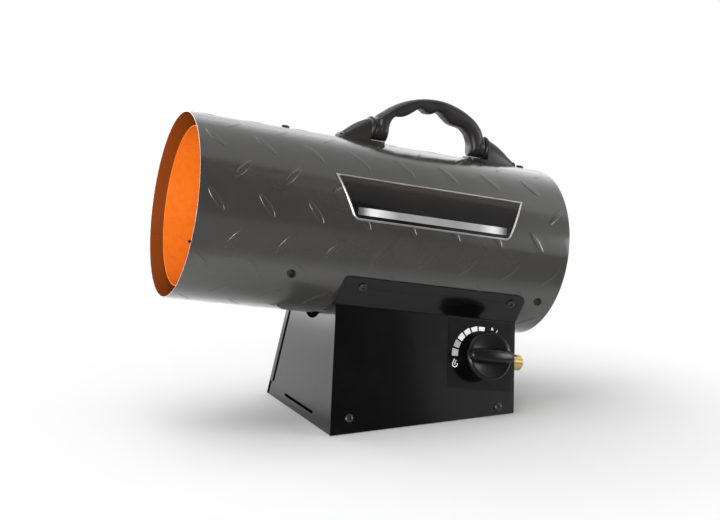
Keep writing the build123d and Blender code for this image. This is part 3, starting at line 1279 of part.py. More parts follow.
def handle_grip():
    """Moulded grip: an arch on two legs, scalloped inside, each leg ending in a round eye."""
    grip = extrude(grip_side_view(), GRIP_T / 2, both=True)
    long_edges = grip.edges().filter_by(lambda e: abs(e.center().Y) > GRIP_T / 2 - 0.1)
    high = long_edges.filter_by(lambda e: e.center().Z > PIVOT_W)
    grip = fillet(high, GRIP_ROUND)
    inside = (LEG_FRONT_U + GRIP_UNDER[0][0], LEG_FRONT_U + GRIP_UNDER[-1][0])
    grip += disc(LEG_COLLAR_R, LEG_FRONT_U - LEG_COLLAR_T, inside[0], 0, PIVOT_W)
    grip += disc(LEG_COLLAR_R, inside[1], LEG_REAR_U + LEG_COLLAR_T, 0, PIVOT_W)
    depth = PIN_L / 2 + EYE_DEPTH
    grip -= disc(PIN_R + RUNNING, BOOT_FACE[0] - 5, BOOT_FACE[0] + depth, 0, PIVOT_W)
    grip -= disc(PIN_R + RUNNING, BOOT_FACE[1] - depth, BOOT_FACE[1] + 5, 0, PIVOT_W)
    return grip


# ======================= the whole heater ==============================================

NODES = {
    "outer_shell": outer_shell,
    "combustion_tube": combustion_tube,
    "front_standoffs": front_standoffs,
    "rear_standoffs": rear_standoffs,
    "shell_screws": shell_screws,
    "chamber_end_plate": chamber_end_plate,
    "burner_cup": burner_cup,
    "flame_spreader": flame_spreader,
    "gas_jet": gas_jet,
    "jet_bracket": jet_bracket,
    "jet_elbow": jet_elbow,
    "gas_pipe": gas_pipe,
    "probe_bracket": probe_bracket,
    "igniter_insulator": igniter_insulator,
    "igniter_rod": igniter_rod,
    "igniter_lead": igniter_lead,
    "thermocouple": thermocouple,
    "thermocouple_lead": thermocouple_lead,
    "limit_switch": limit_switch,
    "ignition_module": ignition_module,
    "terminal_block": terminal_block,
    "riser_grommet": riser_grommet,
    "motor_grommet": motor_grommet,
    "motor_lead": motor_lead,
    "stator_stack": stator_stack,
    "motor_coil": motor_coil,
    "front_bridge": lambda: bearing_bridge(-1),
    "rear_bridge": lambda: bearing_bridge(1),
    "front_bearing": lambda: bearing(-1),
    "rear_bearing": lambda: bearing(1),
    "motor_bolts": motor_bolts,
    "motor_spider": motor_spider,
    "rear_guard": rear_guard,
    "motor_shaft": motor_shaft,
    "rotor_core": rotor_core,
    "fan": fan,
    "fan_hub": fan_hub,
    "fan_clip": fan_clip,
    "base_pan": base_pan,
    "control_panel": control_panel,
    "side_cover": side_cover,
    "cover_screws": cover_screws,
    "gas_inlet_fitting": gas_inlet_fitting,
    "inlet_nut": inlet_nut,
    "cord_gland": cord_gland,
    "valve_body": valve_body,
    "valve_plug": valve_plug,
    "valve_stem": valve_stem,
    "valve_spring": valve_spring,
    "valve_screws": valve_screws,
    "knob": knob,
    "control_label": control_label,
    "nameplate": nameplate,
    "nameplate_rim": nameplate_rim,
    "handle_grip": handle_grip,
    "handle_boot_front": handle_boot_front,
    "handle_boot_rear": handle_boot_rear,
    "handle_pins": handle_pins,
    "boot_screws": boot_screws,
}


def main():
    os.makedirs("parts", exist_ok=True)
    for name, make in NODES.items():
        shape = STAND * make()
        export_step(shape, "parts/" + name + ".step")


if __name__ == "__main__":
    main()
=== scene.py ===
import bmesh
import bpy
import numpy as np
from bpy.props import FloatProperty, FloatVectorProperty, PointerProperty
from bpy.types import Operator
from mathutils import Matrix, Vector


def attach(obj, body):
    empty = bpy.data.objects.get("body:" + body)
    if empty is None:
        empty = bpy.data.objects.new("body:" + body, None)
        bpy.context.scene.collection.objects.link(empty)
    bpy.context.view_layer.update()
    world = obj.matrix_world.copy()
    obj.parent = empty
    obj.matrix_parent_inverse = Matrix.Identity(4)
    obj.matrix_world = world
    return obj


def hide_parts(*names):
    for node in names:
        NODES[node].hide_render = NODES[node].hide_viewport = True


bl_info = {
    "name": "Forced air heater looks",
    "version": (1, 0, 0),
    "blender": (4, 5, 0),
    "location": "View3D > Sidebar > Heater",
    "description": "Dresses the heater's solids: embossed tube, burner tube, knob, screws, plate and guard",
    "category": "Object",
}

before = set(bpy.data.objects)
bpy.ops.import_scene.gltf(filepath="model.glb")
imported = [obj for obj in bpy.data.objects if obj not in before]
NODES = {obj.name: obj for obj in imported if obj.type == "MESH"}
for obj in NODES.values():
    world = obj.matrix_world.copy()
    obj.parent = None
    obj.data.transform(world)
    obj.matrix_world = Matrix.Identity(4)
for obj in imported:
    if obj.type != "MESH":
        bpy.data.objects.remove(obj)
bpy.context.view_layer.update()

# Lengths below are millimetres in the tube's own frame: u along the tube toward the
# air intake, y across with the knob at -y, w square to the tube and up.
# phi is the angle round the tube from the top toward the knob side.
MM = 0.001
TILT = np.radians(9.0)
AXIS_HEIGHT = 178.0
BASE_SPAN = (-39.5, 154.0)
SHELL_R = 86.0
SEAT = 0.15
FLANGE_T = 1.0
SIDE_SLOPE = np.radians(14.5)
FOLD = (61.5, 69.2)
KNOB_PLACE = (115.5, -37.5)
PIVOT_W = 99.0
SCREW_PHI = (0.0, 122.0, -122.0)
TUBE_X = (AXIS_HEIGHT * np.sin(TILT) - sum(BASE_SPAN) / 2) / np.cos(TILT)
TUBE_AXIS = np.array([np.cos(TILT), 0.0, -np.sin(TILT)])


# ===== places =====

def xyz(x, y, z):
    """Points from three coordinates, each spread over the others' grid."""
    return np.stack(np.broadcast_arrays(x, y, z), axis=-1)


def stand(points):
    """Points of the tube's frame, in millimetres, as points of the part in metres.

    The frame is turned down by the tilt about y, and lifted to the axis's height.
    """
    u, y, w = np.moveaxis(np.asarray(points, float), -1, 0)
    x = TUBE_X + u * np.cos(TILT) + w * np.sin(TILT)
    z = AXIS_HEIGHT - u * np.sin(TILT) + w * np.cos(TILT)
    return xyz(x, y, z) * MM


def on_tube(phi, u, radius):
    """Place on the tube: local z points out of it at angle phi, local x runs along it."""
    c, s = np.cos(np.radians(phi)), np.sin(np.radians(phi))

    def place(points):
        x, y, z = np.moveaxis(points, -1, 0)
        out = z + radius
        return xyz(u + x, y * c - out * s, y * s + out * c)
    return place


def on_panel(u, v, side=1):
    """Place on the leaning panel: local x along it, y up it, z out of it; side -1 is the far one."""
    def place(points):
        x, y, z = np.moveaxis(points, -1, 0)
        across = -FOLD[0] + (y + v) * np.sin(SIDE_SLOPE) - z * np.cos(SIDE_SLOPE)
        up = -FOLD[1] + (y + v) * np.cos(SIDE_SLOPE) + z * np.sin(SIDE_SLOPE)
        return xyz(u + x, side * across, up)
    return place


def on_pivot(u, side=1):
    """Place on the handle's axis: local z runs along it, toward the air intake for side 1."""
    def place(points):
        x, y, z = np.moveaxis(points, -1, 0)
        return xyz(u + side * z, x, y + PIVOT_W)
    return place


def on_axis(points):
    """Place on the tube's axis: local z runs along it, toward the air intake."""
    x, y, z = np.moveaxis(points, -1, 0)
    return xyz(z, x, y)


def flange_phi():
    """Angle round the tube at which a cover's flange touches it."""
    fold = 180 - np.degrees(np.arctan2(*FOLD))
    return fold - np.degrees(np.arccos((SHELL_R + SEAT + FLANGE_T) / np.hypot(*FOLD)))


def ground_w(u):
    """Height, in the tube's frame, of the ground under u."""
    return (u * np.sin(TILT) - AXIS_HEIGHT) / np.cos(TILT)


# ===== surfaces =====

def circle(count):
    """Angles of a full turn, as a column."""
    return np.linspace(0, 2 * np.pi, count, endpoint=False)[:, None]


def spokes(degrees):
    """Unit vectors of the plane at angles in degrees."""
    return np.stack([np.cos(np.radians(degrees)), np.sin(np.radians(degrees))], axis=-1)


def squared(angle, power):
    """Cosine and sine of an angle, each raised to a power with its sign kept."""
    return [np.sign(part) * np.abs(part) ** power for part in (np.cos(angle), np.sin(angle))]


def patch(points, closed="bar"):
    """A grid of points as vertices and four-sided faces.

    In a bar each row is a closed section, and the first and the last are capped. A ring
    is closed both ways, and a sheet is left open.
    """
    rows, columns = points.shape[:2]
    index = np.arange(rows * columns).reshape(rows, columns)
    ring = np.vstack([index, index[:1]]) if closed == "ring" else index
    ring = np.hstack([ring, ring[:, :1]]) if closed != "sheet" else ring
    quads = np.stack([ring[:-1, :-1], ring[1:, :-1], ring[1:, 1:], ring[:-1, 1:]], axis=-1)
    faces = quads.reshape(-1, 4).tolist()
    if closed == "bar":
        faces += [index[0, ::-1].tolist(), index[-1].tolist()]
    return points.reshape(-1, 3), faces


def turned(profile, sides, place):
    """Closed profile of (radius, height) turned about local z, with the given sides."""
    angle = circle(sides)
    radius, height = np.asarray(profile, float).T[:, None, :]
    return patch(place(xyz(radius * np.cos(angle), radius * np.sin(angle), height)), "ring")


def rod(start, end, radius, sides):
    """Round rod between two points, with flat ends."""
    axis = (end - start) / np.linalg.norm(end - start)
    side = np.cross(axis, [0.3, 0.5, 0.81])
    side /= np.linalg.norm(side)
    angle = circle(sides)
    ring = radius * (np.cos(angle) * side + np.sin(angle) * np.cross(axis, side))
    return patch(np.stack([start + ring, end + ring]))


def slab(outline, low, high, place):
    """Flat plate with the outline given, from one local height to another."""
    layers = [np.column_stack([outline, np.full(len(outline), z)]) for z in (low, high)]
    return patch(place(np.stack(layers)))


def through(points, steps):
    """Smooth curve through points: in each span the cubic that has half its neighbours' difference as slope."""
    points = np.asarray(points, float)
    p = np.vstack([2 * points[0] - points[1], points, 2 * points[-1] - points[-2]])
    a, b, c, d = p[:-3], p[1:-2], p[2:-1], p[3:]
    t = np.linspace(0, 1, steps, endpoint=False)[:, None, None]
    run = b + 0.5 * ((c - a) * t + (2 * a - 5 * b + 4 * c - d) * t ** 2 + (3 * b - a - 3 * c + d) * t ** 3)
    return np.vstack([run.transpose(1, 0, 2).reshape(-1, points.shape[1]), points[-1:]])


def stroke(path, width, low, high, place):
    """Flat ribbon of a given width along a path."""
    way = np.gradient(path, axis=0)
    way /= np.linalg.norm(way, axis=1)[:, None]
    side = np.column_stack([-way[:, 1], way[:, 0]]) * width / 2
    corners = ((path + side, low), (path - side, low), (path - side, high), (path + side, high))
    loops = [np.column_stack([edge, np.full(len(path), z)]) for edge, z in corners]
    return patch(place(np.stack(loops, axis=1)))


def build(name, patches, dress, slot=None, body="casing", replaced=(), sharp=35.0):
    """One mesh object from patches, smooth but for its sharp edges, riding a body.

    dress names its finish. slot is not used.
    """
    vertices, faces, count = [], [], 0
    for points, quads in patches:
        vertices.append(stand(points))
        faces += [[corner + count for corner in face] for face in quads]
        count += len(points)
    mesh = bpy.data.meshes.new(name)
    mesh.from_pydata(np.vstack(vertices).tolist(), [], faces)
    work = bmesh.new()
    work.from_mesh(mesh)
    bmesh.ops.remove_doubles(work, verts=work.verts, dist=1e-6)
    bmesh.ops.dissolve_degenerate(work, edges=work.edges, dist=1e-7)
    bmesh.ops.recalc_face_normals(work, faces=work.faces)
    work.to_mesh(mesh)
    work.free()
    mesh.polygons.foreach_set("use_smooth", np.ones(len(mesh.polygons), bool))
    mesh.set_sharp_from_angle(angle=np.radians(sharp))
    mesh.materials.append(coat(dress))
    piece = bpy.data.objects.new(name, mesh)
    bpy.context.scene.collection.objects.link(piece)
    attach(piece, body)
    if replaced:
        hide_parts(*replaced)
    slot or dress
    return piece


# ===== effects that the finishes share =====

def add(tree, kind, inputs=None, **settings):
    """A node, a shader's unless its kind says more, with settings and with values or sockets put in."""
    family = "" if kind.startswith(("Geometry", "Function")) else "ShaderNode"
    node = tree.nodes.new(family + kind)
    for key, value in settings.items():
        setattr(node, key, value)
    for key, value in (inputs or {}).items():
        if isinstance(value, bpy.types.NodeSocket):
            tree.links.new(value, node.inputs[key])
        else:
            node.inputs[key].default_value = value
    return node


def noise(tree, at, scale, detail, roughness=0.5):
    """Cloudy noise, from 0 to 1."""
    return add(tree, "TexNoise", {"Vector": at, "Scale": scale, "Detail": detail, "Roughness": roughness}).outputs[0]


def maths(tree, operation, *values):
    """Result of a Math node."""
    return add(tree, "Math", dict(enumerate(values)), operation=operation).outputs[0]


def between(tree, value, low, high, first=0.0, last=1.0, smooth=False):
    """Place of a value between low and high, told as a value from first to last."""
    return add(tree, "MapRange",
               {"Value": value, "From Min": low, "From Max": high, "To Min": first, "To Max": last},
               interpolation_type="SMOOTHSTEP" if smooth else "LINEAR").outputs["Result"]


def blend(tree, share, *tones):
    """Colour mixed from two, each of them a socket or three channels."""
    one, other = [tone if isinstance(tone, bpy.types.NodeSocket) else (*tone, 1.0) for tone in tones]
    return add(tree, "Mix", {0: share, 6: one, 7: other}, data_type="RGBA").outputs[2]


def along_tube(tree, at):
    """Coordinates turned so that x runs along the tube."""
    return add(tree, "Mapping", {"Vector": at, "Rotation": (0.0, -TILT, 0.0)}).outputs[0]


def wire_grain(tree, given):
    """Fine grain of cast, moulded and painted pieces: a coarse noise and one four times as fine."""
    coarse = noise(tree, given["Vector"], given["Scale"], 2.0)
    fine = noise(tree, given["Vector"], maths(tree, "MULTIPLY", given["Scale"], 4.3), 3.0, 0.6)
    return maths(tree, "MULTIPLY_ADD", fine, 0.5, coarse)


def wire_patches(tree, given):
    """Handling marks, haze and stains: cloudy noise, of which only the higher patches are left."""
    cloud = noise(tree, given["Vector"], given["Scale"], 5.0, 0.62)
    return between(tree, cloud, 0.42, 0.68, 0.0, given["Amount"], smooth=True)


def wire_scratches(tree, given):
    """Hairlines: the borders between stretched cells, kept where cloudy noise is high."""
    slanted = add(tree, "Mapping", {"Vector": given["Vector"], "Scale": (1.0, 6.0, 2.2), "Rotation": (0.5, 0.9, 0.3)})
    cells = add(tree, "TexVoronoi", {"Vector": slanted.outputs[0], "Scale": given["Scale"]},
                feature="DISTANCE_TO_EDGE")
    line = between(tree, cells.outputs["Distance"], 0.0, 0.012, 1.0, 0.0)
    some = between(tree, noise(tree, given["Vector"], 45.0, 3.0), 0.52, 0.7, 0.0, given["Amount"])
    return maths(tree, "MULTIPLY", line, some)


def wire_brushed(tree, given):
    """Drawn or brushed lines of sheet, wire and strip: noise stretched along one axis."""
    stretched = add(tree, "Mapping",
                    {"Vector": given["Vector"], "Rotation": (0.0, -TILT, 0.0), "Scale": given["Stretch"]})
    return noise(tree, stretched.outputs[0], given["Scale"], 4.0, 0.7)


def wire_heat(tree, given):
    """How far a place lies from the hot end toward the cool end, blurred by cloudy noise."""
    parts = add(tree, "SeparateXYZ", {"Vector": along_tube(tree, given["Vector"])})
    along = maths(tree, "MULTIPLY_ADD", noise(tree, given["Vector"], 22.0, 4.0), 0.05, parts.outputs["X"])
    return between(tree, along, given["Hot End"], given["Cool End"], smooth=True)


# Each effect's wiring, its output's name, and its inputs beside Vector with their defaults.
EFFECTS = {
    "surface_grain": (wire_grain, "Height", {"Scale": 800.0}),
    "worn_patches": (wire_patches, "Mask", {"Scale": 30.0, "Amount": 1.0}),
    "hairline_scratches": (wire_scratches, "Mask", {"Scale": 40.0, "Amount": 1.0}),
    "brushed_lines": (wire_brushed, "Height", {"Scale": 900.0, "Stretch": (0.02, 1.0, 1.0)}),
    "heat_stain": (wire_heat, "Mask", {"Hot End": -0.2, "Cool End": 0.0}),
}


def effect(tree, name, at, **values):
    """Output of a shared effect, placed with its own values; its node group is made once."""
    if name not in bpy.data.node_groups:
        wire, result, given = EFFECTS[name]
        group = bpy.data.node_groups.new(name, "ShaderNodeTree")
        group.interface.new_socket("Vector", in_out="INPUT", socket_type="NodeSocketVector")
        for label, value in given.items():
            kind = "NodeSocketFloat" if isinstance(value, float) else "NodeSocketVector"
            group.interface.new_socket(label, in_out="INPUT", socket_type=kind).default_value = value
        group.interface.new_socket(result, in_out="OUTPUT", socket_type="NodeSocketFloat")
        entry, leave = group.nodes.new("NodeGroupInput"), group.nodes.new("NodeGroupOutput")
        group.links.new(wire(group, entry.outputs), leave.inputs[0])
    placed = {label.replace("_", " ").title(): value for label, value in values.items()}
    return add(tree, "Group", {"Vector": at, **placed}, node_tree=bpy.data.node_groups[name]).outputs[0]


def bare_tree(holder):
    """Emptied node tree of a material or of the world."""
    holder.use_nodes = True
    holder.node_tree.nodes.clear()
    return holder.node_tree


# ===== finishes =====

# Painted highlights of the strip: grey levels along it that stand in for the light its brushed metal catches, as
# (place along the tube in metres from its middle, level).
STRIP_PAINTED_HIGHLIGHTS = ((-0.0405, 0.01), (-0.036, 0.08), (-0.028, 0.85), (-0.023, 0.85), (0.000, 0.26), (0.030, 0.29),
               (0.060, 0.24), (0.085, 0.34), (0.099, 0.80), (0.104, 0.66), (0.1125, 0.03))


def paint_plate_sheen(tree, at, tone, other, low, high):
    """Painted sheen: the tone going over to the other, lighter one from low to high, in metres up the plate."""
    turn = np.radians(PLATE_PHI)
    up = np.array([np.sin(TILT) * np.sin(turn), np.cos(turn), np.cos(TILT) * np.sin(turn)])
    middle = float(stand([0.0, 0.0, 0.0]) @ up)
    across = add(tree, "VectorMath", {0: at, 1: up.tolist()}, operation="DOT_PRODUCT").outputs["Value"]
    return blend(tree, between(tree, across, middle + low, middle + high, smooth=True), tone, other)


def paint_strip_highlights(tree, at, tone, tones):
    """Painted highlights: a row of grey levels that lie along the tube, with a fifth of the tone under them."""
    start, span = tones[0][0], tones[-1][0] - tones[0][0]
    first = float(stand([start / MM, 0, 0]) @ TUBE_AXIS)
    along = add(tree, "SeparateXYZ", {"Vector": along_tube(tree, at)}).outputs["X"]
    scale = add(tree, "ValToRGB", {0: between(tree, along, first, first + span)})
    marks = scale.color_ramp.elements
    while len(marks) < len(tones):
        marks.new(0.5)
    for mark, (place, level) in zip(marks, tones):
        mark.position, mark.color = (place - start) / span, (level, level, level, 1.0)
    return blend(tree, 0.2, scale.outputs[0], tone)


def finish(name, colour, second, metallic, roughness, spread=0.1, grain_scale=900.0, bump=0.15,
           depth=0.00005, patch_scale=28.0, patch_amount=1.0, scratch=0.0, stretch=None, coat=0.0,
           coat_roughness=0.1, specular=0.5, hot=None, stripes=None, ramp=None, fade=None):
    """A procedural finish: two tones in patches, varying roughness, grain or brushed lines.

    hot is the tone of the hot end and where it ends, stripes the scale of laminations or
    windings, ramp the grey levels that paint the strip's highlights, and fade the lighter brown tone that paints a
    sheen on the plate's upper part.
    """
    name += "_finish"
    if name in bpy.data.materials:
        return bpy.data.materials[name]
    material = bpy.data.materials.new(name)
    tree = bare_tree(material)
    at = add(tree, "TexCoord").outputs["Object"]
    stain = effect(tree, "worn_patches", at, scale=patch_scale, amount=patch_amount)
    tone = blend(tree, stain, colour, second or [min(1.0, channel * 1.25 + 0.004) for channel in colour])
    if hot:
        tone = blend(tree, effect(tree, "heat_stain", at, hot_end=hot[1], cool_end=hot[2]), hot[0], tone)
    # The plate's upper part goes over to a lighter brown tone: a painted sheen.
    if fade:
        tone = paint_plate_sheen(tree, at, tone, *fade)
    if stretch:
        height = effect(tree, "brushed_lines", at, stretch=stretch, scale=grain_scale)
    else:
        height = effect(tree, "surface_grain", at, scale=grain_scale)
    if scratch:
        lines = effect(tree, "hairline_scratches", at, amount=scratch)
        tone = blend(tree, lines, tone, [min(1.0, channel * 2.2 + 0.02) for channel in colour])
        height = maths(tree, "MULTIPLY_ADD", lines, -0.6, height)
    if stripes:
        wave = add(tree, "TexWave", {"Vector": along_tube(tree, at), "Scale": stripes},
                   bands_direction="X", wave_profile="SAW").outputs["Fac"]
        height = maths(tree, "MULTIPLY_ADD", wave, 1.5, height)
        tone = blend(tree, wave, tone, [channel * 0.55 for channel in colour])
    # The strip's tone is mostly painted highlights: grey levels set along it.
    if ramp:
        tone = paint_strip_highlights(tree, at, tone, ramp)
    rough = between(tree, stain, 0.0, 1.0, roughness - spread / 2, roughness + spread / 2)
    raised = add(tree, "Bump", {"Height": height, "Strength": bump, "Distance": depth})
    shader = add(tree, "BsdfPrincipled",
                 {"Base Color": tone, "Metallic": metallic, "Roughness": rough, "Normal": raised.outputs[0],
                  "Coat Weight": coat, "Coat Roughness": coat_roughness, "Specular IOR Level": specular})
    add(tree, "OutputMaterial", {"Surface": shader.outputs[0]})
    return material


def colour_of(name):
    """A colour of the heater, as three channels."""
    return tuple(getattr(bpy.context.scene.heater_colours, name))


def size(name):
    """A size of the heater, in millimetres."""
    return getattr(bpy.context.scene.heater_sizes, name) / MM


def recipe(*values, **rest):
    """Arguments of a finish: tone, other tone, share of metal, roughness, and what else differs."""
    return values, rest


def finishes():
    """The recipe of every finish, by its name."""
    paint = colour_of("tube_paint")
    return {
        "tube_paint": recipe(
            paint, [1.06 * channel for channel in paint], 0.0, 0.22, spread=0.03, grain_scale=420.0,
            bump=0.05, depth=0.00003, scratch=0.05, coat=1.0, coat_roughness=0.15),
        "inside_paint": recipe((0.032, 0.031, 0.030), (0.036, 0.033, 0.030), 0.0, 0.45, spread=0.12,
                               specular=0.2, hot=(colour_of("shell_inside"), -0.10, 0.02)),
        "chamber_steel": recipe(
            colour_of("burner_tube"), (0.60, 0.130, 0.007), 0.1, 0.55, spread=0.12, grain_scale=260.0,
            patch_scale=160.0, patch_amount=0.6, specular=0.15),
        "burner_steel": recipe((0.42, 0.33, 0.26), (0.30, 0.20, 0.15), 1.0, 0.38,
                               hot=((0.55, 0.25, 0.10), -0.12, 0.0)),
        "plated_steel": recipe((0.56, 0.56, 0.55), (0.47, 0.47, 0.45), 1.0, 0.34, grain_scale=1500.0, scratch=0.4),
        "lamination": recipe((0.30, 0.31, 0.33), None, 0.9, 0.42, stripes=310.0, bump=0.5),
        "bright_chrome": recipe((0.50, 0.49, 0.47), None, 1.0, 0.34, spread=0.05, bump=0.05),
        "black_screw": recipe((0.018, 0.018, 0.018), None, 0.55, 0.28, scratch=0.4),
        "cover_screw": recipe((0.022, 0.022, 0.023), None, 0.3, 0.3, scratch=0.3),
        "brass": recipe((0.72, 0.52, 0.22), (0.58, 0.39, 0.16), 1.0, 0.27, scratch=0.4),
        "copper": recipe((0.75, 0.40, 0.24), (0.55, 0.27, 0.15), 1.0, 0.3),
        "die_cast": recipe((0.58, 0.58, 0.59), None, 0.9, 0.5, grain_scale=1400.0, bump=0.4),
        "fan_aluminium": recipe((0.72, 0.73, 0.74), None, 1.0, 0.3, stretch=(0.05, 1.0, 1.0), scratch=0.3),
        "ceramic": recipe((0.86, 0.84, 0.78), None, 0.0, 0.16, coat=0.4),
        "black_plastic": recipe(colour_of("knob_plastic"), (0.0062, 0.0062, 0.0062), 0.0, 0.30, spread=0.05,
                                specular=0.28, grain_scale=1800.0, bump=0.08, scratch=0.1),
        "grip_plastic": recipe(colour_of("grip_plastic"), (0.014, 0.0125, 0.012), 0.0, 0.36, spread=0.08,
                               specular=0.35, grain_scale=2200.0, bump=0.3, depth=0.00006),
        "module_plastic": recipe((0.045, 0.047, 0.055), None, 0.0, 0.5, grain_scale=1500.0, bump=0.3),
        "coil_tape": recipe((0.70, 0.55, 0.12), (0.55, 0.40, 0.07), 0.0, 0.45, stripes=90.0),
        "label_black": recipe((0.0020, 0.0020, 0.0024), (0.0030, 0.0030, 0.0034), 0.0, 0.2, spread=0.04,
                              bump=0.05, specular=0.15, coat=0.2, coat_roughness=0.08),
        # The plate's fade is a painted sheen: lighter brown toward its top.
        "plate_black": recipe(
            colour_of("plate"), (0.007, 0.006, 0.006), 0.0, 0.14, spread=0.04, bump=0.03, specular=0.25,
            coat=0.25, coat_roughness=0.06, fade=((0.020, 0.0155, 0.012), -0.004, 0.020)),
        "rubber": recipe((0.018, 0.018, 0.018), None, 0.0, 0.62, grain_scale=1500.0, bump=0.3),
        "lead_red": recipe((0.36, 0.03, 0.02), None, 0.0, 0.42),
        "base_paint": recipe(
            colour_of("base_paint"), (0.0024, 0.0024, 0.0026), 0.0, 0.17, spread=0.03, grain_scale=380.0,
            bump=0.04, depth=0.00003, scratch=0.08, coat=0.35, coat_roughness=0.09, specular=0.2),
        "guard_paint": recipe((0.015, 0.015, 0.016), None, 0.0, 0.3, scratch=0.3),
        "mark_white": recipe((0.80, 0.80, 0.79), (0.70, 0.70, 0.69), 0.0, 0.45),
        "mark_grey": recipe((0.33, 0.33, 0.33), None, 0.0, 0.45),
        # The strip's grey levels are painted highlights.
        "brushed_strip": recipe((0.36, 0.36, 0.37), (0.31, 0.31, 0.32), 0.25, 0.3, stretch=(0.02, 1.0, 1.0),
                                bump=0.08, patch_amount=0.0, ramp=STRIP_PAINTED_HIGHLIGHTS),
    }


def coat(name):
    """The finish of that name, made when it is first asked for."""
    values, rest = finishes()[name]
    return finish(name, *values, **rest)


# ===== sizes and colours =====

def length(label, text, value):
    """Property for a length."""
    return FloatProperty(name=label, description=text, default=value, min=0.0, unit="LENGTH",
                         subtype="DISTANCE", precision=4)


def colour(label, text, value):
    """Property for a colour."""
    return FloatVectorProperty(name=label, description=text, default=value, min=0.0, max=1.0, size=3,
                               subtype="COLOR")


class HeaterSizes(bpy.types.PropertyGroup):
    """Sizes of the pieces that are drawn here."""
    shell_radius: length("Shell radius", "Outside radius of the embossed tube", 0.086)
    shell_length: length("Shell length", "Length of the embossed tube", 0.375)
    shell_wall: length("Shell wall", "Thickness of the tube's sheet", 0.001)
    mark_height: length("Mark height", "Height of the embossed marks", 0.00028)
    mark_length: length("Mark length", "Length of an embossed mark", 0.024)
    mark_width: length("Mark width", "Width of an embossed mark, without its slopes", 0.0052)
    burner_radius: length("Burner tube radius", "Outside radius of the burner tube", 0.0744)
    burner_wall: length("Burner tube wall", "Thickness of the burner tube's sheet", 0.0008)
    knob_radius: length("Knob radius", "Radius of the knob's rim", 0.0238)
    screw_radius: length("Screw head radius", "Radius of the cover and shell screws' heads", 0.0039)
    screw_height: length("Screw head height", "Height of the same heads", 0.0023)
    wire_radius: length("Guard wire radius", "Radius of the rear guard's wire", 0.0013)
    rim_height: length("Plate rim height", "Height of the bright rim round the plate", 0.0015)
    rim_width: length("Plate rim width", "Width of the bright rim", 0.0018)


class HeaterColours(bpy.types.PropertyGroup):
    """Colours of the paints and mouldings."""
    tube_paint: colour("Tube paint", "Enamel of the tube", (0.030, 0.0290, 0.0275))
    base_paint: colour("Base paint", "Enamel of the base", (0.0018, 0.0018, 0.0020))
    shell_inside: colour("Inside of the tube", "Heat-stained inside of the mouth", (0.18, 0.037, 0.003))
    burner_tube: colour("Burner tube", "Heat-tinted burner tube", (0.68, 0.156, 0.011))
    knob_plastic: colour("Knob", "Plastic of the knob", (0.0045, 0.0045, 0.0047))
    grip_plastic: colour("Handle", "Plastic of handle and boots", (0.0125, 0.0110, 0.0110))
    plate: colour("Plate", "Gloss plate on the tube", (0.005, 0.0045, 0.0045))
    floor: colour("Floor", "Floor and backdrop", (0.80, 0.80, 0.80))


# ===== tube =====

BANDS = 18
FIRST_BAND = 2.0
MARK_SLOPE = np.radians(52.0)
# Where the lines of marks stand along the tube, and where the grid's rows cross a mark.
MARK_LINES = -172.0 + 23.0 * np.arange(16)
MARK_ROWS = (-15.5, -12.9, -12.2, -11.0, -9.0, -6.0, -2.0, 2.0, 6.0, 9.0, 11.0, 12.2, 12.9, 15.5)
# Across a mark: share of its half width, distance past it, share of its height.
MARK_SECTION = ((-1, -0.5, 0), (-1, -0.25, 0.4), (-1, 0, 0.9), (-0.5, 0, 1), (0, 0, 1), (0.5, 0, 1),
                (1, 0, 0.9), (1, 0.25, 0.4), (1, 0.5, 0))
EDGE_ROUND = 0.25
BURNER_SPAN = (-177.5, 26.5)
BURNER_SCREW = (-119.3, -151.0)
SEAM_PHI = -112.6


def shell_points(radius, long, wall, height, mark_length, mark_width):
    """The tube's wall as one closed grid: rows round the tube, columns along it and back inside.

    Bands of 20 degrees lean to and fro by turns. In a band the column lines follow the
    marks' slope: u = centre + lean * s / tan(slope) + t / sin(slope), where s is the arc
    from the band's middle and t the distance from the mark's centre line. A mark is
    half = (mark_width / 2) * (1 - (a / half_length)^2)^0.8 wide each side, a being the
    place along it, and is flat on top with slopes of 0.5 mm.
    """
    along = np.concatenate([[-np.pi * radius / BANDS / np.sin(MARK_SLOPE)], MARK_ROWS])
    band = np.repeat(np.arange(BANDS), len(along))[:, None]
    lean = np.where(band % 2 == 0, 1.0, -1.0)
    along = np.tile(along, BANDS)[:, None]
    arc = along * np.sin(MARK_SLOPE)
    phi = np.radians(FIRST_BAND + 360.0 / BANDS * band) + arc / radius

    half = np.maximum(mark_width / 2 * np.clip(1 - (along / (mark_length / 2)) ** 2, 0, 1) ** 0.8, 0.15)
    share, past, top = np.array(MARK_SECTION).T
    fade = np.clip((mark_length / 2 + 0.9 - np.abs(along)) / 1.4, 0, 1)
    fade = fade * fade * (3 - 2 * fade)
    slant = lean * arc / np.tan(MARK_SLOPE)
    across = (half * share + past) / np.sin(MARK_SLOPE)
    marks_u = MARK_LINES[:, None] + slant[:, :, None] + across[:, None]
    own = (np.arange(len(MARK_LINES)) % 2 == 0) == (lean > 0)
    marks_rise = height * own[:, :, None] * fade[:, :, None] * top

    edge = long / 2 - EDGE_ROUND
    tip = edge + EDGE_ROUND
    last, columns = -edge, [(-edge, 0)]
    for k in range(len(MARK_LINES)):
        gap = marks_u[:, k, :1] - last
        columns += [(last + gap / 3, 0), (last + gap * 2 / 3, 0), (marks_u[:, k], marks_rise[:, k])]
        last = marks_u[:, k, -1:]
    columns += [((last + edge) / 2, 0), (edge, 0), (tip, -EDGE_ROUND), (tip, EDGE_ROUND - wall), (edge, -wall),
                (-edge, -wall), (-tip, EDGE_ROUND - wall), (-tip, -EDGE_ROUND)]
    u, rise = [np.hstack(parts) for parts in zip(*(np.broadcast_arrays(*column, phi)[:2] for column in columns))]
    return xyz(u, -(radius + rise) * np.sin(phi), (radius + rise) * np.cos(phi))


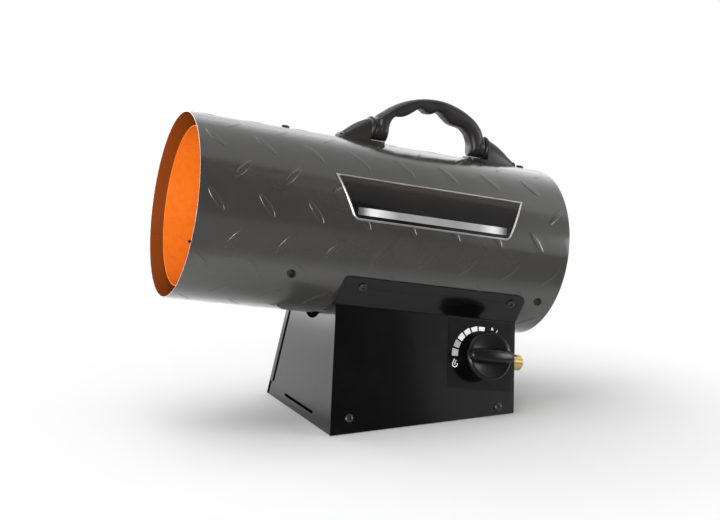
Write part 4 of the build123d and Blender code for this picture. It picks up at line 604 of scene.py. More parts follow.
class HEATER_OT_tube_shell(Operator):
    """Embossed outer tube"""
    bl_idname = "heater.tube_shell"
    bl_label = "Tube shell"

    def execute(self, context):
        radius, wall = size("shell_radius"), size("shell_wall")
        points = shell_points(radius, size("shell_length"), wall,
                              size("mark_height"), size("mark_length"), size("mark_width"))
        piece = build("tube_shell", [patch(points, "ring")],
                      "tube_paint", replaced=["outer_shell"], sharp=50.0)
        flatter(piece)
        piece.data.materials.append(coat("inside_paint"))
        faces = piece.data.polygons
        middle = np.empty(len(faces) * 3)
        faces.foreach_get("center", middle)
        off_axis = np.linalg.norm(np.cross(middle.reshape(-1, 3) - stand([0.0, 0.0, 0.0]), TUBE_AXIS), axis=1)
        faces.foreach_set("material_index", (off_axis < (radius - 0.7 * wall) * MM).astype(np.int32))
        return {"FINISHED"}


class HEATER_OT_burner_tube(Operator):
    """Inner tube that the flame burns in, with its rolled front edge"""
    bl_idname = "heater.burner_tube"
    bl_label = "Burner tube"

    def execute(self, context):
        outer, inner = size("burner_radius"), size("burner_radius") - size("burner_wall")
        front, rear = BURNER_SPAN
        wall = [(outer, rear), (outer, front + 0.3), (outer - 0.25, front), (inner + 0.25, front),
                (inner, front + 0.3), (inner, rear)]
        build("burner_tube", [turned(wall, 240, on_axis)], "chamber_steel", replaced=["combustion_tube"])
        inward = on_tube(*BURNER_SCREW, inner)
        build("burner_tube_screw", [screw_head(1.7, 0.7, lambda points: inward(points * [1.0, 1.0, -1.0]))],
              "black_screw")
        lap = on_tube(SEAM_PHI, 0.0, size("shell_radius") - size("shell_wall"))
        seam = np.column_stack([np.linspace(-186.5, -100.0, 9), np.zeros(9)])
        build("tube_seam", [stroke(seam, 0.7, -0.2, 0.1, lap)], "inside_paint", "tube_paint")
        return {"FINISHED"}


# ===== knob and scale =====

# The knob's turned part: (radius, height over the panel), and from its rim inward
# (distance from the rim, height).
KNOB_SKIRT = ((6.2, 7.6), (14.4, 7.6), (14.6, 7.4), (14.8, 5.4), (15.8, 5.4), (16.9, 5.9), (17.4, 7.2),
              (18.4, 10.2), (20.0, 12.8), (21.8, 14.7))
KNOB_FACE = ((0.5, 15.7), (0.0, 16.1), (0.0, 17.1), (0.35, 17.6), (1.5, 18.7), (1.9, 18.9), (2.3, 18.7),
             (2.8, 18.2), (4.5, 17.7), (8.0, 16.95), (12.0, 16.1), (17.0, 15.15))
KNOB_CORE = ((0.01, 14.6), (0.01, 13.0), (6.2, 13.0))
BAR_INSET = 0.3
BAR_FOOT = 14.4
BAR_TOP = 27.6
BAR_ROUND = 2.4
LABEL_FACE = 0.35
MARK_T = 0.04


def bar_top(x, reach):
    """Height of the grip bar's top over the panel: an arch, flat in the middle."""
    return BAR_TOP - 3.3 * (x / reach) ** 2


def grip_bar(reach, place):
    """Grip across the knob: sections x = const are superellipses, narrower at the ends.

    Half width and height fall with the square of x, and both shrink like a quarter circle
    over the last 2.4 mm, which rounds the ends.
    """
    x = reach * np.sin(np.linspace(-np.pi / 2, np.pi / 2, 49))[:, None]
    past = np.clip(np.abs(x) - (reach - BAR_ROUND), 0, None)
    close = np.sqrt(np.clip(1 - (past / BAR_ROUND) ** 2, 0, 1))
    half = (7.9 - 2.3 * (x / reach) ** 2) * close
    tall = bar_top(x, reach) - 1.6 * (1 - close) - BAR_FOOT
    sweep, lift = squared(np.linspace(0, np.pi, 25), 0.5)
    return patch(place(xyz(x, half * sweep * (1 - 0.16 * lift), BAR_FOOT + tall * lift)))


class HEATER_OT_knob(Operator):
    """Control knob: turned skirt, bevelled rim, dished face and grip bar"""
    bl_idname = "heater.knob"
    bl_label = "Knob"

    def execute(self, context):
        place = on_panel(*KNOB_PLACE)
        r = size("knob_radius")
        reach = r - BAR_INSET
        profile = [*KNOB_SKIRT, *((r - inset, height) for inset, height in KNOB_FACE), *KNOB_CORE]
        build("knob_dial", [turned(profile, 128, place), grip_bar(reach, place)], "black_plastic",
              body="knob", replaced=["knob"], sharp=40.0)
        across, up = np.array([(-0.7, -0.6), (0.7, -0.6), (0.7, 0.12), (-0.7, 0.12)]).T
        # White marks near both ends of the grip bar: the left one is the printed pointer, the right one a painted
        # highlight where that end catches the light.
        pointer_and_glint = []
        for start, end in ((-r + 0.4, -r + 3.6), (r - 3.0, r - 0.9)):
            line = np.linspace(start, end, 9)[:, None]
            top = bar_top(line, reach) - np.where(np.abs(line) > r - 1.8, 2.95, 1.35)
            pointer_and_glint.append(patch(place(xyz(line, across, top + up))))
        build("knob_pointer", pointer_and_glint, "mark_white", "label_black", "knob")
        return {"FINISHED"}


class HEATER_OT_scale_marks(Operator):
    """Six heat blocks, a flame, a triangle and a tick on the scale plate"""
    bl_idname = "heater.scale_marks"
    bl_label = "Scale marks"

    def execute(self, context):
        printed = LABEL_FACE - 0.02, LABEL_FACE + MARK_T, on_panel(*KNOB_PLACE)

        def block(start, end, inner, outer):
            arc = spokes(np.linspace(start, end, 9))
            return slab(np.vstack([arc * inner, arc[::-1] * outer]), *printed)

        blocks = [block(168.2 - 17.1 * k, 181.8 - 17.1 * k, 25.5, 32.2 - 0.55 * k) for k in range(6)]
        bowl = 2.6 * spokes(np.linspace(150.0, 390.0, 25)) - [0.0, 1.3]
        tongue = through([(-0.4, 4.0), (-1.6, 1.9), *bowl[::4]], 5)
        heart = through([(-0.4, -2.0), (0.2, 0.4), (1.5, 2.8)], 6)
        flame = [stroke(path - [28.6, 7.6], width, *printed) for path, width in ((tongue, 0.9), (heart, 0.8))]
        triangle = slab(30.7 * spokes(67.0) + 2.0 * spokes([90.0, 210.0, 330.0]), *printed)
        white = [*blocks[2:], *flame, triangle, block(55.8, 57.6, 30.2, 33.2)]
        build("scale_marks_white", white, "mark_white", "label_black")
        build("scale_mark_grey", blocks[:2], "mark_grey", "label_black")
        return {"FINISHED"}


# ===== screws =====

SHELL_SCREWS = (-91.0, 169.0)
FLANGE_SCREWS = (-19.3, 139.0)
# Low screws of the panels: place along the tube and height over the ground, up the panel.
PANEL_SCREWS = ((-21.5, 14.5), (135.8, 8.5))
BOOT_SCREWS = (-33.2, 155.5)
VALVE_SCREWS = (-11.0, 11.0)
HEAD_RINGS = (0.001, 0.16, 0.24, 0.36, 0.48, 0.56, 0.62, 0.72, 0.82, 0.91, 0.97, 1.0, 1.0)


def screw_head(radius, height, place):
    """Domed head with a cross recess, as one polar grid.

    The grid's lines bend to follow the recess: at radius r the line at an arm's edge
    lies asin(half_arm / r) from the arm's middle. Height is a dome, less the recess.
    """
    share = np.array(HEAD_RINGS)[:, None]
    r = share * radius
    edge, brink = [np.arcsin(np.clip(arm / share, 0, np.sin(np.pi / 4))) for arm in (0.15, 0.20)]
    middle = np.full_like(r, np.pi / 4)
    halfway = (brink + middle) / 2
    quarter = np.hstack([0 * r, edge, brink, halfway, middle,
                         np.pi / 2 - halfway, np.pi / 2 - brink, np.pi / 2 - edge])
    angle = np.hstack([quarter + np.pi / 2 * k for k in range(4)])
    dome = height * (0.35 + 0.65 * np.sqrt(np.clip(1 - (0.94 * share) ** 2.4, 0, 1)))
    dome[-2:, 0] = height * 0.28, 0.0
    in_arm = np.where(share < 0.17, 1, [1, 1, 0, 0, 0, 0, 0, 1] * 4)
    z = dome - height * 0.62 * np.clip((0.60 - share) / 0.1, 0, 1) * in_arm
    return patch(place(xyz(r * np.cos(angle), r * np.sin(angle), z)))


def shank(radius, long, place):
    """Shank below the head, with a blunt point."""
    return turned([(0.01, 0.1), (radius, 0.1), (radius, 0.6 - long), (radius - 0.6, -long), (0.01, -long)],
                  16, place)


def spun(place, angle, lift=0.0, shift=(0.0, 0.0)):
    """The same place, moved by shift, lifted, and with its recess turned by an angle."""
    c, s = np.cos(angle), np.sin(angle)

    def spun_place(points):
        x, y, z = np.moveaxis(points, -1, 0)
        return place(xyz(shift[0] + c * x - s * y, shift[1] + s * x + c * y, z + lift))
    return spun_place


class HEATER_OT_screws(Operator):
    """Cross-recess screws of the shell, covers, boots and valve"""
    bl_idname = "heater.screws"
    bl_label = "Screws"

    def execute(self, context):
        head = size("screw_radius"), size("screw_height")
        shell = [spun(on_tube(phi, u, SHELL_R), 0.3 + phi * 0.02 + u, SEAT)
                 for u in SHELL_SCREWS for phi in SCREW_PHI]
        covers = [spun(on_tube(side * flange_phi(), u, SHELL_R + SEAT + FLANGE_T), 0.5 + u, SEAT,
                       (0.0, -10.0 * side)) for u in FLANGE_SCREWS for side in (1, -1)]
        for u, lift in PANEL_SCREWS:
            drop = (-ground_w(u) - FOLD[1]) / np.cos(SIDE_SLOPE) - lift
            covers += [spun(on_panel(u, -drop, side), 0.2 + u * side, SEAT) for side in (1, -1)]
        boots = [spun(on_tube(0.0, u, SHELL_R), 0.4 + u, 2.25) for u in BOOT_SCREWS]
        valve = [spun(on_panel(*KNOB_PLACE), 0.4 + x, 0.45, (x, 0.0)) for x in VALVE_SCREWS]
        rows = (("shell_screw", shell, head, (1.9, 6.0), "black_screw"),
                ("cover_screw", covers, head, (1.9, 7.0), "cover_screw"),
                ("boot_screw", boots, head, (1.9, 4.2), "black_screw"),
                ("valve_screw", valve, (2.8, 1.2), (1.6, 6.0), "plated_steel"))
        for name, places, head_sizes, shank_sizes, material in rows:
            parts = [screw_head(*head_sizes, place) for place in places]
            parts += [shank(*shank_sizes, place) for place in places]
            build(name + "_heads", parts, material, replaced=[name + "s"], sharp=38.0)
        return {"FINISHED"}


# ===== nameplate =====

# The plate: angle of its middle, half its width, its ends along the tube at top and bottom.
PLATE_PHI = 69.4
PLATE_HALF = 20.7
PLATE_TOP = (-61.7, 135.0)
PLATE_BOTTOM = (-43.3, 118.3)
PLATE_CORNER = 7.0
STRIP = (-40.5, 114.5)


def plate_loop(inset):
    """Closed outline of the plate, inset by a distance: square top corners, round low ones.

    A round corner is drawn about one centre for every inset, and a square corner moves
    along its mitre, so that loops of different insets match point by point.
    """
    corners = np.array([(PLATE_TOP[0], PLATE_HALF), (PLATE_BOTTOM[0], -PLATE_HALF),
                        (PLATE_BOTTOM[1], -PLATE_HALF), (PLATE_TOP[1], PLATE_HALF)])
    loop = []
    for corner, last, following in zip(corners, np.roll(corners, 1, axis=0), np.roll(corners, -1, axis=0)):
        before, after = [run / np.linalg.norm(run) for run in (corner - last, following - corner)]
        inward = (after - before) / np.linalg.norm(after - before)
        half_turn = np.arccos(before @ after) / 2
        if corner[1] > 0:
            loop.append(corner + inward * inset / np.cos(half_turn))
        else:
            start = np.arctan2(-before[0], before[1])
            out = spokes(np.degrees(start + np.linspace(0, 2 * half_turn, 13)))
            loop.append(corner + inward * PLATE_CORNER / np.cos(half_turn) + out * (PLATE_CORNER - inset))
    return np.vstack(loop)


def fine_loop(inset, step=3.0):
    """The plate's outline with its straight runs divided, the same way for every inset."""
    whole = plate_loop(0.0)
    counts = [max(1, int(np.hypot(*run) / step)) for run in np.roll(whole, -1, axis=0) - whole]
    loop = plate_loop(inset)
    runs = zip(loop, np.roll(loop, -1, axis=0), counts)
    return np.vstack([start + (end - start) * (np.arange(count) / count)[:, None] for start, end, count in runs])


def round_shell(flat, radius):
    """Points (u, v) of the plane that touches the tube at the plate's middle, let down to a radius."""
    u, v = np.moveaxis(flat, -1, 0)
    return on_tube(PLATE_PHI, 0.0, 0.0)(xyz(u, v, np.sqrt(radius ** 2 - v ** 2)))


def curved_panel(bottom, top, low_v, high_v, low_r, high_r, corner=0.0):
    """Closed curved sheet between two heights, with straight sides and rounded low corners."""
    v = np.concatenate([low_v + corner * (1 - np.cos(np.linspace(0, np.pi / 2, 8))),
                        np.linspace(low_v + corner, high_v, 10)[1:]])[:, None]
    share = (v - low_v) / (high_v - low_v)
    rest = np.clip(corner - (v - low_v), 0, None)
    cut = corner - np.sqrt(np.clip(corner ** 2 - rest ** 2, 0, None))
    left = bottom[0] + (top[0] - bottom[0]) * share + cut
    right = bottom[1] + (top[1] - bottom[1]) * share - cut
    u = left + (right - left) * np.linspace(0, 1, 41)
    flat = np.stack(np.broadcast_arrays(u, v), axis=-1)
    both = np.hstack([round_shell(flat, high_r), round_shell(flat[:, ::-1], low_r)])
    return patch(both)


class HEATER_OT_nameplate(Operator):
    """Bare gloss plate with a painted sheen on its upper part, its bright rim, and its brushed strip with painted
    highlights
    """
    bl_idname = "heater.nameplate"
    bl_label = "Plate"

    def execute(self, context):
        width, height = size("rim_width"), size("rim_height")
        seat = SHELL_R + SEAT
        inset = width + SEAT
        half = PLATE_HALF - inset
        top = plate_loop(inset)[[0, -1], 0]
        bottom = top + (np.array(PLATE_BOTTOM) - PLATE_TOP) / PLATE_HALF * half
        sheet = curved_panel(bottom, top, -half, half, seat, seat + 0.8, 5.0)
        build("gloss_plate", [sheet], "plate_black", replaced=["nameplate"])
        strip = curved_panel(STRIP, STRIP, -16.0, -9.2, seat + 0.6, seat + 0.95)
        build("plate_strip", [strip], "brushed_strip", "bright_chrome")
        turn = np.linspace(0, np.pi, 9)
        across = width / 2 - width / 2 * np.cos(turn)
        rise = height * (0.45 + 0.55 * np.sin(turn))
        section = [(0.0, 0.0), *zip(across, rise), (width, 0.0)]
        rings = np.stack([round_shell(fine_loop(place), seat + lift) for place, lift in section])
        build("plate_rim", [patch(rings, "ring")], "bright_chrome", replaced=["nameplate_rim"], sharp=60.0)
        return {"FINISHED"}


# ===== handle and boots =====

# Each boot's collar face along the tube, the way it points, and its stretch.
BOOT_FACES = (("front", -2.9, -1, 0.86), ("rear", 120.3, 1, 1.0))
COLLAR_R = 12.0
COLLAR_T = 4.6
COLLAR_EDGE = ((2.6, 0.0), (2.2, 0.4), (1.7, 0.4), (0.9, 0.5), (0.25, 1.2), (0.0, 2.3), (0.25, 3.4), (0.9, 4.2),
               (1.8, COLLAR_T))
FOOT_T = 2.05
# Top of a boot behind its collar: distance from the collar, height over the axis, half width.
BOOT_LINE = ((-0.5, 108.2, 10.6), (3.5, 107.4, 10.5), (11.5, 104.0, 9.9), (19.0, 99.6, 9.2), (24.4, 95.6, 8.5),
             (28.4, 92.9, 8.0), (30.6, 91.5, 7.6), (31.0, 88.4, 7.5), (33.9, 88.35, 6.9), (34.1, 90.0, 6.8),
             (34.9, 90.0, 6.2), (35.0, 89.6, 6.1))
# Foot of a boot: distance from the collar and half width.
FOOT_LINE = ((-20.6, 6.0), (-20.2, 7.6), (-19.0, 9.2), (-17.0, 10.5), (-14.5, 11.0), (0.0, 11.0), (30.0, 7.4),
             (34.0, 6.8), (35.0, 6.1))
# The handle: outside of its legs, centre and radius of its arch, and its inner edge as (u, w).
LEG_ENDS = (-0.4, 117.8)
LEG_TOP = 112.7
LEG_HALF = 10.0
ARCH_CENTRE = np.array([61.4, 57.0])
ARCH_R = 81.0
EYE_R = 10.4
EYE = ((0.01, -5.0), (10.2, -5.0), (10.4, -4.0), (10.4, 1.4), (10.1, 1.9), (9.4, 2.2), (0.01, 2.2))
GRIP_INSIDE = ((13.2, 99.0), (13.2, 103.0), (14.0, 107.8), (15.9, 112.0), (19.6, 114.4), (25.0, 114.9),
               (30.6, 117.2), (36.2, 121.2), (41.2, 124.9), (46.4, 125.3), (51.6, 122.7), (56.6, 122.9),
               (62.0, 125.5), (67.4, 124.5), (72.6, 120.9), (77.8, 117.4), (83.4, 115.7), (89.2, 115.1),
               (94.8, 113.3), (99.8, 109.2), (103.4, 103.6), (105.2, 99.0))


def boot_patches(face, side, reach):
    """Wedge, foot and collar of one boot; reach stretches it away from the handle.

    A section of the wedge at half width h and top t has, over the shell's curve, the height
    (t - shell) * sin(a)^0.7 at y = h * cos(a) * |cos(a)|^-0.25.
    """
    low = SHELL_R + SEAT

    def lofted(away, y, w):
        return patch(xyz(face + side * (COLLAR_T + reach * away), y, w))

    away, top, half = np.array(BOOT_LINE).T[:, :, None]
    angle = np.linspace(0, np.pi, 25)
    y = half * squared(angle, 0.75)[0]
    w = np.sqrt(low ** 2 - y ** 2) + (top - low) * np.sin(angle) ** 0.7
    under = half * np.linspace(-1, 1, 9)[1:-1]
    wedge = lofted(away, np.hstack([y, under]), np.hstack([w, np.sqrt(low ** 2 - under ** 2)]))
    away, half = np.array(FOOT_LINE).T[:, :, None]
    y = half * np.linspace(-1, 1, 13)
    w = [np.sqrt(radius ** 2 - y ** 2) for radius in (low, low + FOOT_T)]
    foot = lofted(away, np.hstack([y, y[:, ::-1]]), np.hstack([w[0], w[1][:, ::-1]]))
    bead = [(0.01, 0.0), *((COLLAR_R - inset, height) for inset, height in COLLAR_EDGE), (0.01, COLLAR_T)]
    return [wedge, foot, turned(bead, 96, on_pivot(face, side))]


def grip_rows():
    """Outer edge, inner edge and half width of every section, from the front eye to the rear one.

    In the legs the sections lie flat, and in the arch they point at its centre. Below
    each leg the eye closes them along a circle about the pivot's axis.
    """
    inner = through(GRIP_INSIDE, 6)
    way = inner - ARCH_CENTRE
    arch = ARCH_CENTRE + ARCH_R * way / np.linalg.norm(way, axis=1)[:, None]
    front = inner[:, :1] < ARCH_CENTRE[0]
    ends = np.where(front, *LEG_ENDS)
    share = np.clip((inner[:, 1:] - PIVOT_W) / 10.0, 0, 1)
    leg = np.hstack([ends, PIVOT_W + (LEG_TOP - PIVOT_W) * share])
    side = np.where(front, np.maximum(arch[:, :1], ends), np.minimum(arch[:, :1], ends))
    arched = np.clip((inner[:, 1:] - 107.0) / 4.0, 0, 1)
    outer = leg * (1 - arched) + np.hstack([side, arch[:, 1:]]) * arched
    turn = np.radians(np.linspace(86.0, 8.0, 12))[:, None]
    low, wide = PIVOT_W - EYE_R * np.sin(turn), EYE_R * np.cos(turn)

    def eye(row, order):
        rings = [np.hstack([np.full_like(low, line[row, 0]), low]) for line in (outer, inner)]
        return [ring[::order] for ring in (*rings, wide)]

    half = np.full((len(inner), 1), LEG_HALF)
    return [np.vstack(parts) for parts in zip(eye(0, 1), (outer, inner, half), eye(-1, -1))]


class HEATER_OT_handle(Operator):
    """Arched handle with finger scallops, its two legs ending in round eyes"""
    bl_idname = "heater.handle"
    bl_label = "Handle"

    def execute(self, context):
        outer, inner, half = grip_rows()
        reach, across = squared(np.linspace(0, 2 * np.pi, 48, endpoint=False), 0.62)
        middle, extent = (outer + inner) / 2, (outer - inner) / 2
        u, w = [middle[:, [k]] + extent[:, [k]] * reach for k in (0, 1)]
        grip = patch(xyz(u, half * across, w))
        eyes = [turned(EYE, 72, on_pivot(end, side)) for end, side in zip(LEG_ENDS, (-1, 1))]
        build("handle_arch", [grip, *eyes], "grip_plastic", body="handle", replaced=["handle_grip"], sharp=42.0)
        return {"FINISHED"}


class HEATER_OT_handle_boots(Operator):
    """Two wedge-shaped boots with round collars, which carry the handle"""
    bl_idname = "heater.handle_boots"
    bl_label = "Handle boots"

    def execute(self, context):
        for name, *places in BOOT_FACES:
            build("boot_" + name, boot_patches(*places), "grip_plastic", replaced=["handle_boot_" + name],
                  sharp=48.0)
        return {"FINISHED"}


# ===== rear guard =====

GUARD_R = 83.675
GUARD_U = 183.6
GUARD_RINGS = (13.0, 30.0, 47.0, 64.5)
GUARD_TAB = ((164.5, -5.0), (165.5, -6.0), (184.4, -6.0), (184.4, 6.0), (165.5, 6.0), (164.5, 5.0))
WELD = 0.5


class HEATER_OT_rear_guard(Operator):
    """Welded wire guard over the air intake"""
    bl_idname = "heater.rear_guard"
    bl_label = "Rear guard"

    def execute(self, context):
        wire = size("wire_radius")
        rim = GUARD_R - wire + WELD
        section = wire * spokes(np.arange(0.0, 360.0, 30.0))
        parts = [turned(section + [radius, GUARD_U], 144, on_axis) for radius in (*GUARD_RINGS, rim)]
        hub = np.array([GUARD_U - 2 * wire + WELD, 0.0, 0.0])
        for out in spokes(22.5 + 45.0 * np.arange(8)):
            way = np.array([0.0, *out])
            parts.append(rod(hub + 12.0 * way, hub + rim * way, wire, 12))
        parts += [slab(GUARD_TAB, 0.0, 1.0, on_tube(phi, 0.0, GUARD_R)) for phi in SCREW_PHI]
        build("guard_wires", parts, "guard_paint", "base_paint", replaced=["rear_guard"], sharp=50.0)
        return {"FINISHED"}


# ===== solids that stay =====

SOLIDS = {
    "plated_steel": "front_standoffs rear_standoffs jet_bracket probe_bracket igniter_rod front_bridge "
                    "rear_bridge motor_bolts motor_spider motor_shaft fan_clip valve_spring handle_pins",
    "burner_steel": "chamber_end_plate burner_cup flame_spreader",
    "brass": "gas_jet jet_elbow front_bearing rear_bearing gas_inlet_fitting inlet_nut valve_plug valve_stem",
    "copper": "gas_pipe thermocouple thermocouple_lead",
    "die_cast": "valve_body",
    "ceramic": "igniter_insulator",
    "lead_red": "igniter_lead",
    "black_plastic": "limit_switch terminal_block cord_gland",
    "module_plastic": "ignition_module",
    "rubber": "riser_grommet motor_grommet motor_lead",
    "lamination": "stator_stack rotor_core",
    "coil_tape": "motor_coil",
    "fan_aluminium": "fan fan_hub",
    "base_paint": "base_pan control_panel side_cover",
    "label_black": "control_label",
}
FLAT_ANGLE = 32.0
SMOOTH_ANGLE = {"igniter_lead": 65.0, "thermocouple_lead": 65.0, "motor_lead": 65.0, "valve_spring": 75.0}
EASED_EDGE = {"base_pan": 0.2, "control_panel": 0.22, "side_cover": 0.22, "stator_stack": 0.3,
              "ignition_module": 0.5, "terminal_block": 0.4, "motor_spider": 0.15, "fan": 0.15,
              "valve_body": 0.3, "jet_bracket": 0.2, "probe_bracket": 0.2, "front_standoffs": 0.2,
              "rear_standoffs": 0.2, "cord_gland": 0.4}


def smoother():
    """Modifier group that joins a solid's loose triangles and shades it smooth but for sharp edges."""
    name = "join_and_smooth"
    if name in bpy.data.node_groups:
        return bpy.data.node_groups[name]
    group = bpy.data.node_groups.new(name, "GeometryNodeTree")
    for label, way, kind in (("Geometry", "INPUT", "Geometry"), ("Angle", "INPUT", "Float"),
                             ("Geometry", "OUTPUT", "Geometry")):
        group.interface.new_socket(label, in_out=way, socket_type="NodeSocket" + kind)
    entry, leave = group.nodes.new("NodeGroupInput"), group.nodes.new("NodeGroupOutput")
    joined = add(group, "GeometryNodeMergeByDistance", {"Geometry": entry.outputs[0], "Distance": 2e-6})
    smooth = add(group, "GeometryNodeSetShadeSmooth",
                 {"Geometry": joined.outputs[0], "Shade Smooth": True}, domain="FACE")
    bend = add(group, "GeometryNodeInputMeshEdgeAngle")
    sharp = add(group, "FunctionNodeCompare", {0: bend.outputs[0], 1: entry.outputs[1]},
                data_type="FLOAT", operation="GREATER_THAN")
    edges = add(group, "GeometryNodeSetShadeSmooth",
                {"Geometry": smooth.outputs[0], "Selection": sharp.outputs[0], "Shade Smooth": False}, domain="EDGE")
    group.links.new(edges.outputs[0], leave.inputs[0])
    return group


def modified(piece, name, kind, **settings):
    """A modifier of the piece, with its settings."""
    modifier = piece.modifiers.new(name, kind)
    for key, value in settings.items():
        setattr(modifier, key, value)
    return modifier


def flatter(piece):
    """Normals weighted by area, so that broad faces stay flat beside their eased edges."""
    modified(piece, "flatter", "WEIGHTED_NORMAL", keep_sharp=True, weight=100)


class HEATER_OT_solids(Operator):
    """Finishes of the solids that stay as they are, with eased edges on sheet and mouldings"""
    bl_idname = "heater.solids"
    bl_label = "Solids"

    def execute(self, context):
        dresses = {name: dress for dress, names in SOLIDS.items() for name in names.split()}
        for name, dress in dresses.items():
            piece = NODES[name]
            piece.data.materials.clear()
            piece.data.materials.append(coat(dress))
            if name in EASED_EDGE:
                modified(piece, "weld", "WELD", merge_threshold=2e-6)
                modified(piece, "ease", "BEVEL", width=EASED_EDGE[name] * MM, segments=2, limit_method="ANGLE",
                         angle_limit=np.radians(40.0), use_clamp_overlap=False)
            smooth = modified(piece, "smooth", "NODES", node_group=smoother())
            identifier = smooth.node_group.interface.items_tree["Angle"].identifier
            smooth[identifier] = float(np.radians(SMOOTH_ANGLE.get(name, FLAT_ANGLE)))
            if name in EASED_EDGE:
                flatter(piece)
        return {"FINISHED"}


# ===== stage =====

CAMERA_AT = (-0.4461, -0.9888, 0.2687)
LOOK_AT = (-0.0296, 0.0, 0.1476)
CAMERA_LENS = 54.70
FLOOR_HALF = 6.0
WALL_R = 2.6
WALL_HEIGHT = 3.3
# Lamps: place, the point they face, width, height and power.
LAMPS = {
    "top_box": ((-0.50, 0.10, 1.40), (0.0, 0.0, 0.0), 1.2, 1.3, 14.0),
    "sky_box": ((0.95, 0.65, 1.45), (0.10, 0.65, 0.15), 3.0, 1.8, 10.0),
    "right_box": ((1.68, -1.22, 0.42), (0.10, -0.05, 0.1), 0.7, 0.5, 11.0),
    "mouth_box": ((-1.55, -0.75, 0.16), (-0.18, 0.0, 0.28), 0.9, 0.3, 18.0),
    "front_box": ((-0.95, -1.55, 0.32), (-0.05, 0.0, 0.18), 0.9, 0.6, 28.0),
    "back_box": ((-0.95, 1.95, 0.62), (-0.14, 0.0, 0.10), 1.6, 1.4, 20.0),
}


def paper_finish(name, near, far, glossy):
    """White paper: lit and shaded near the heater, plain white to the camera farther off.

    near is the colour that other rays find as far as 0.2 m in front of the heater, and far
    the one beyond; glossy says whether reflections find it white too.
    """
    material = bpy.data.materials.new(name)
    tree = bare_tree(material)
    at = add(tree, "TexCoord").outputs["Object"]
    rays = add(tree, "LightPath").outputs
    parts = add(tree, "SeparateXYZ", {"Vector": at}).outputs
    relief = add(tree, "Bump", {"Height": effect(tree, "surface_grain", at, scale=300.0), "Strength": 0.02,
                                "Distance": 0.0001})
    tone = blend(tree, between(tree, parts["Y"], -0.24, -0.15), far, near)
    seen = blend(tree, rays["Is Camera Ray"], tone, near)
    matt = add(tree, "BsdfDiffuse", {"Color": seen, "Normal": relief.outputs[0]})
    white = add(tree, "Emission", {"Color": (1, 1, 1, 1), "Strength": 1.0})
    distance = add(tree, "VectorMath", {0: at}, operation="LENGTH").outputs["Value"]
    share = maths(tree, "MULTIPLY", between(tree, distance, 0.20, 0.46, smooth=True), rays["Is Camera Ray"])
    if glossy:
        high = between(tree, parts["Z"], 1.0, 3.2, 1.0, 0.0, smooth=True)
        level = maths(tree, "MULTIPLY", high, between(tree, parts["Y"], -2.3, 0.0))
        level = maths(tree, "MAXIMUM", level, between(tree, parts["Z"], 0.62, 0.74, 0.45, 0.0))
        share = maths(tree, "MAXIMUM", maths(tree, "MULTIPLY", rays["Is Glossy Ray"], level), share)
    both = add(tree, "MixShader", {0: share, 1: matt.outputs[0], 2: white.outputs[0]})
    add(tree, "OutputMaterial", {"Surface": both.outputs[0]})
    return material


def aimed(name, content, at, toward):
    """Lamp or camera at a place, facing a point."""
    holder = bpy.data.objects.new(name, content)
    holder.location = at
    holder.rotation_euler = (Vector(toward) - Vector(at)).to_track_quat("-Z", "Y").to_euler()
    bpy.context.scene.collection.objects.link(holder)
    return holder


def sheet_of(name, points, faces, material):
    """Object of the stage from points in metres and faces."""
    mesh = bpy.data.meshes.new(name)
    mesh.from_pydata(np.asarray(points).tolist(), [], faces)
    mesh.materials.append(material)
    piece = bpy.data.objects.new(name, mesh)
    bpy.context.scene.collection.objects.link(piece)
    return piece


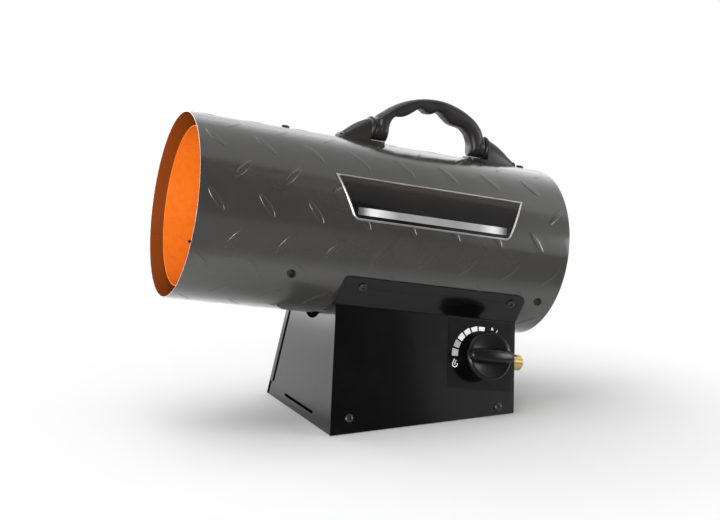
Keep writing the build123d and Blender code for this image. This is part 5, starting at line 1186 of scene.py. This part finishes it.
class HEATER_OT_stage(Operator):
    """Floor, backdrop, white surroundings, lamps and camera"""
    bl_idname = "heater.stage"
    bl_label = "Stage"

    def execute(self, context):
        scene = context.scene
        paper = colour_of("floor")
        corners = [(FLOOR_HALF * x, FLOOR_HALF * y, -0.0002) for x, y in ((-1, -1), (1, -1), (1, 1), (-1, 1))]
        floor = sheet_of("floor", corners, [(0, 1, 2, 3)],
                         paper_finish("floor_paper", paper, (0.26, 0.26, 0.26), False))
        foot = WALL_R * spokes(np.linspace(-60.0, 190.0, 51))
        wall = np.stack([xyz(*foot.T, lift - 0.0001) for lift in (0.0, WALL_HEIGHT)])
        backdrop = sheet_of("backdrop", *patch(wall, "sheet"), paper_finish("backdrop_paper", paper, paper, True))

        scene.world = bpy.data.worlds.new("surroundings")
        tree = bare_tree(scene.world)
        seen = add(tree, "LightPath").outputs["Is Camera Ray"]
        back = add(tree, "Background", {"Color": (1, 1, 1, 1), "Strength": between(tree, seen, 0.0, 1.0, 0.06, 1.0)})
        add(tree, "OutputWorld", {"Surface": back.outputs[0]})

        for name, (at, toward, wide, high, power) in LAMPS.items():
            lamp = bpy.data.lights.new(name, "AREA")
            lamp.shape = "RECTANGLE"
            lamp.size, lamp.size_y, lamp.energy = wide, high, power
            aimed(name, lamp, at, toward).visible_camera = False

        lens = bpy.data.cameras.new("camera")
        lens.lens, lens.sensor_width, lens.clip_start = CAMERA_LENS, 36.0, 0.01
        scene.camera = aimed("camera", lens, CAMERA_AT, LOOK_AT)
        scene.view_settings.view_transform = "Standard"
        return {"FINISHED"}


OPERATORS = (HEATER_OT_tube_shell, HEATER_OT_burner_tube, HEATER_OT_knob, HEATER_OT_scale_marks,
             HEATER_OT_screws, HEATER_OT_nameplate, HEATER_OT_handle, HEATER_OT_handle_boots,
             HEATER_OT_rear_guard, HEATER_OT_solids, HEATER_OT_stage)


class HEATER_PT_pieces(bpy.types.Panel):
    """Lists the heater's pieces, sizes and colours"""
    bl_idname = "HEATER_PT_pieces"
    bl_label = "Heater"
    bl_space_type = "VIEW_3D"
    bl_region_type = "UI"
    bl_category = "Heater"

    def draw(self, context):
        for operator in OPERATORS:
            self.layout.operator(operator.bl_idname)
        for group in (context.scene.heater_sizes, context.scene.heater_colours):
            for name in group.bl_rna.properties.keys():
                if name not in ("rna_type", "name"):
                    self.layout.prop(group, name)


CLASSES = (HeaterSizes, HeaterColours, *OPERATORS, HEATER_PT_pieces)


def register():
    """Register the classes and hang the sizes and colours on the scene."""
    for item in CLASSES:
        bpy.utils.register_class(item)
    bpy.types.Scene.heater_sizes = PointerProperty(type=HeaterSizes)
    bpy.types.Scene.heater_colours = PointerProperty(type=HeaterColours)


def unregister():
    """Take the sizes, the colours and the classes away again."""
    del bpy.types.Scene.heater_colours
    del bpy.types.Scene.heater_sizes
    for item in reversed(CLASSES):
        bpy.utils.unregister_class(item)


def main():
    """Draw every piece and the stage."""
    register()
    for operator in OPERATORS:
        group, name = operator.bl_idname.split(".")
        getattr(getattr(bpy.ops, group), name)()


if __name__ == "__main__":
    main()
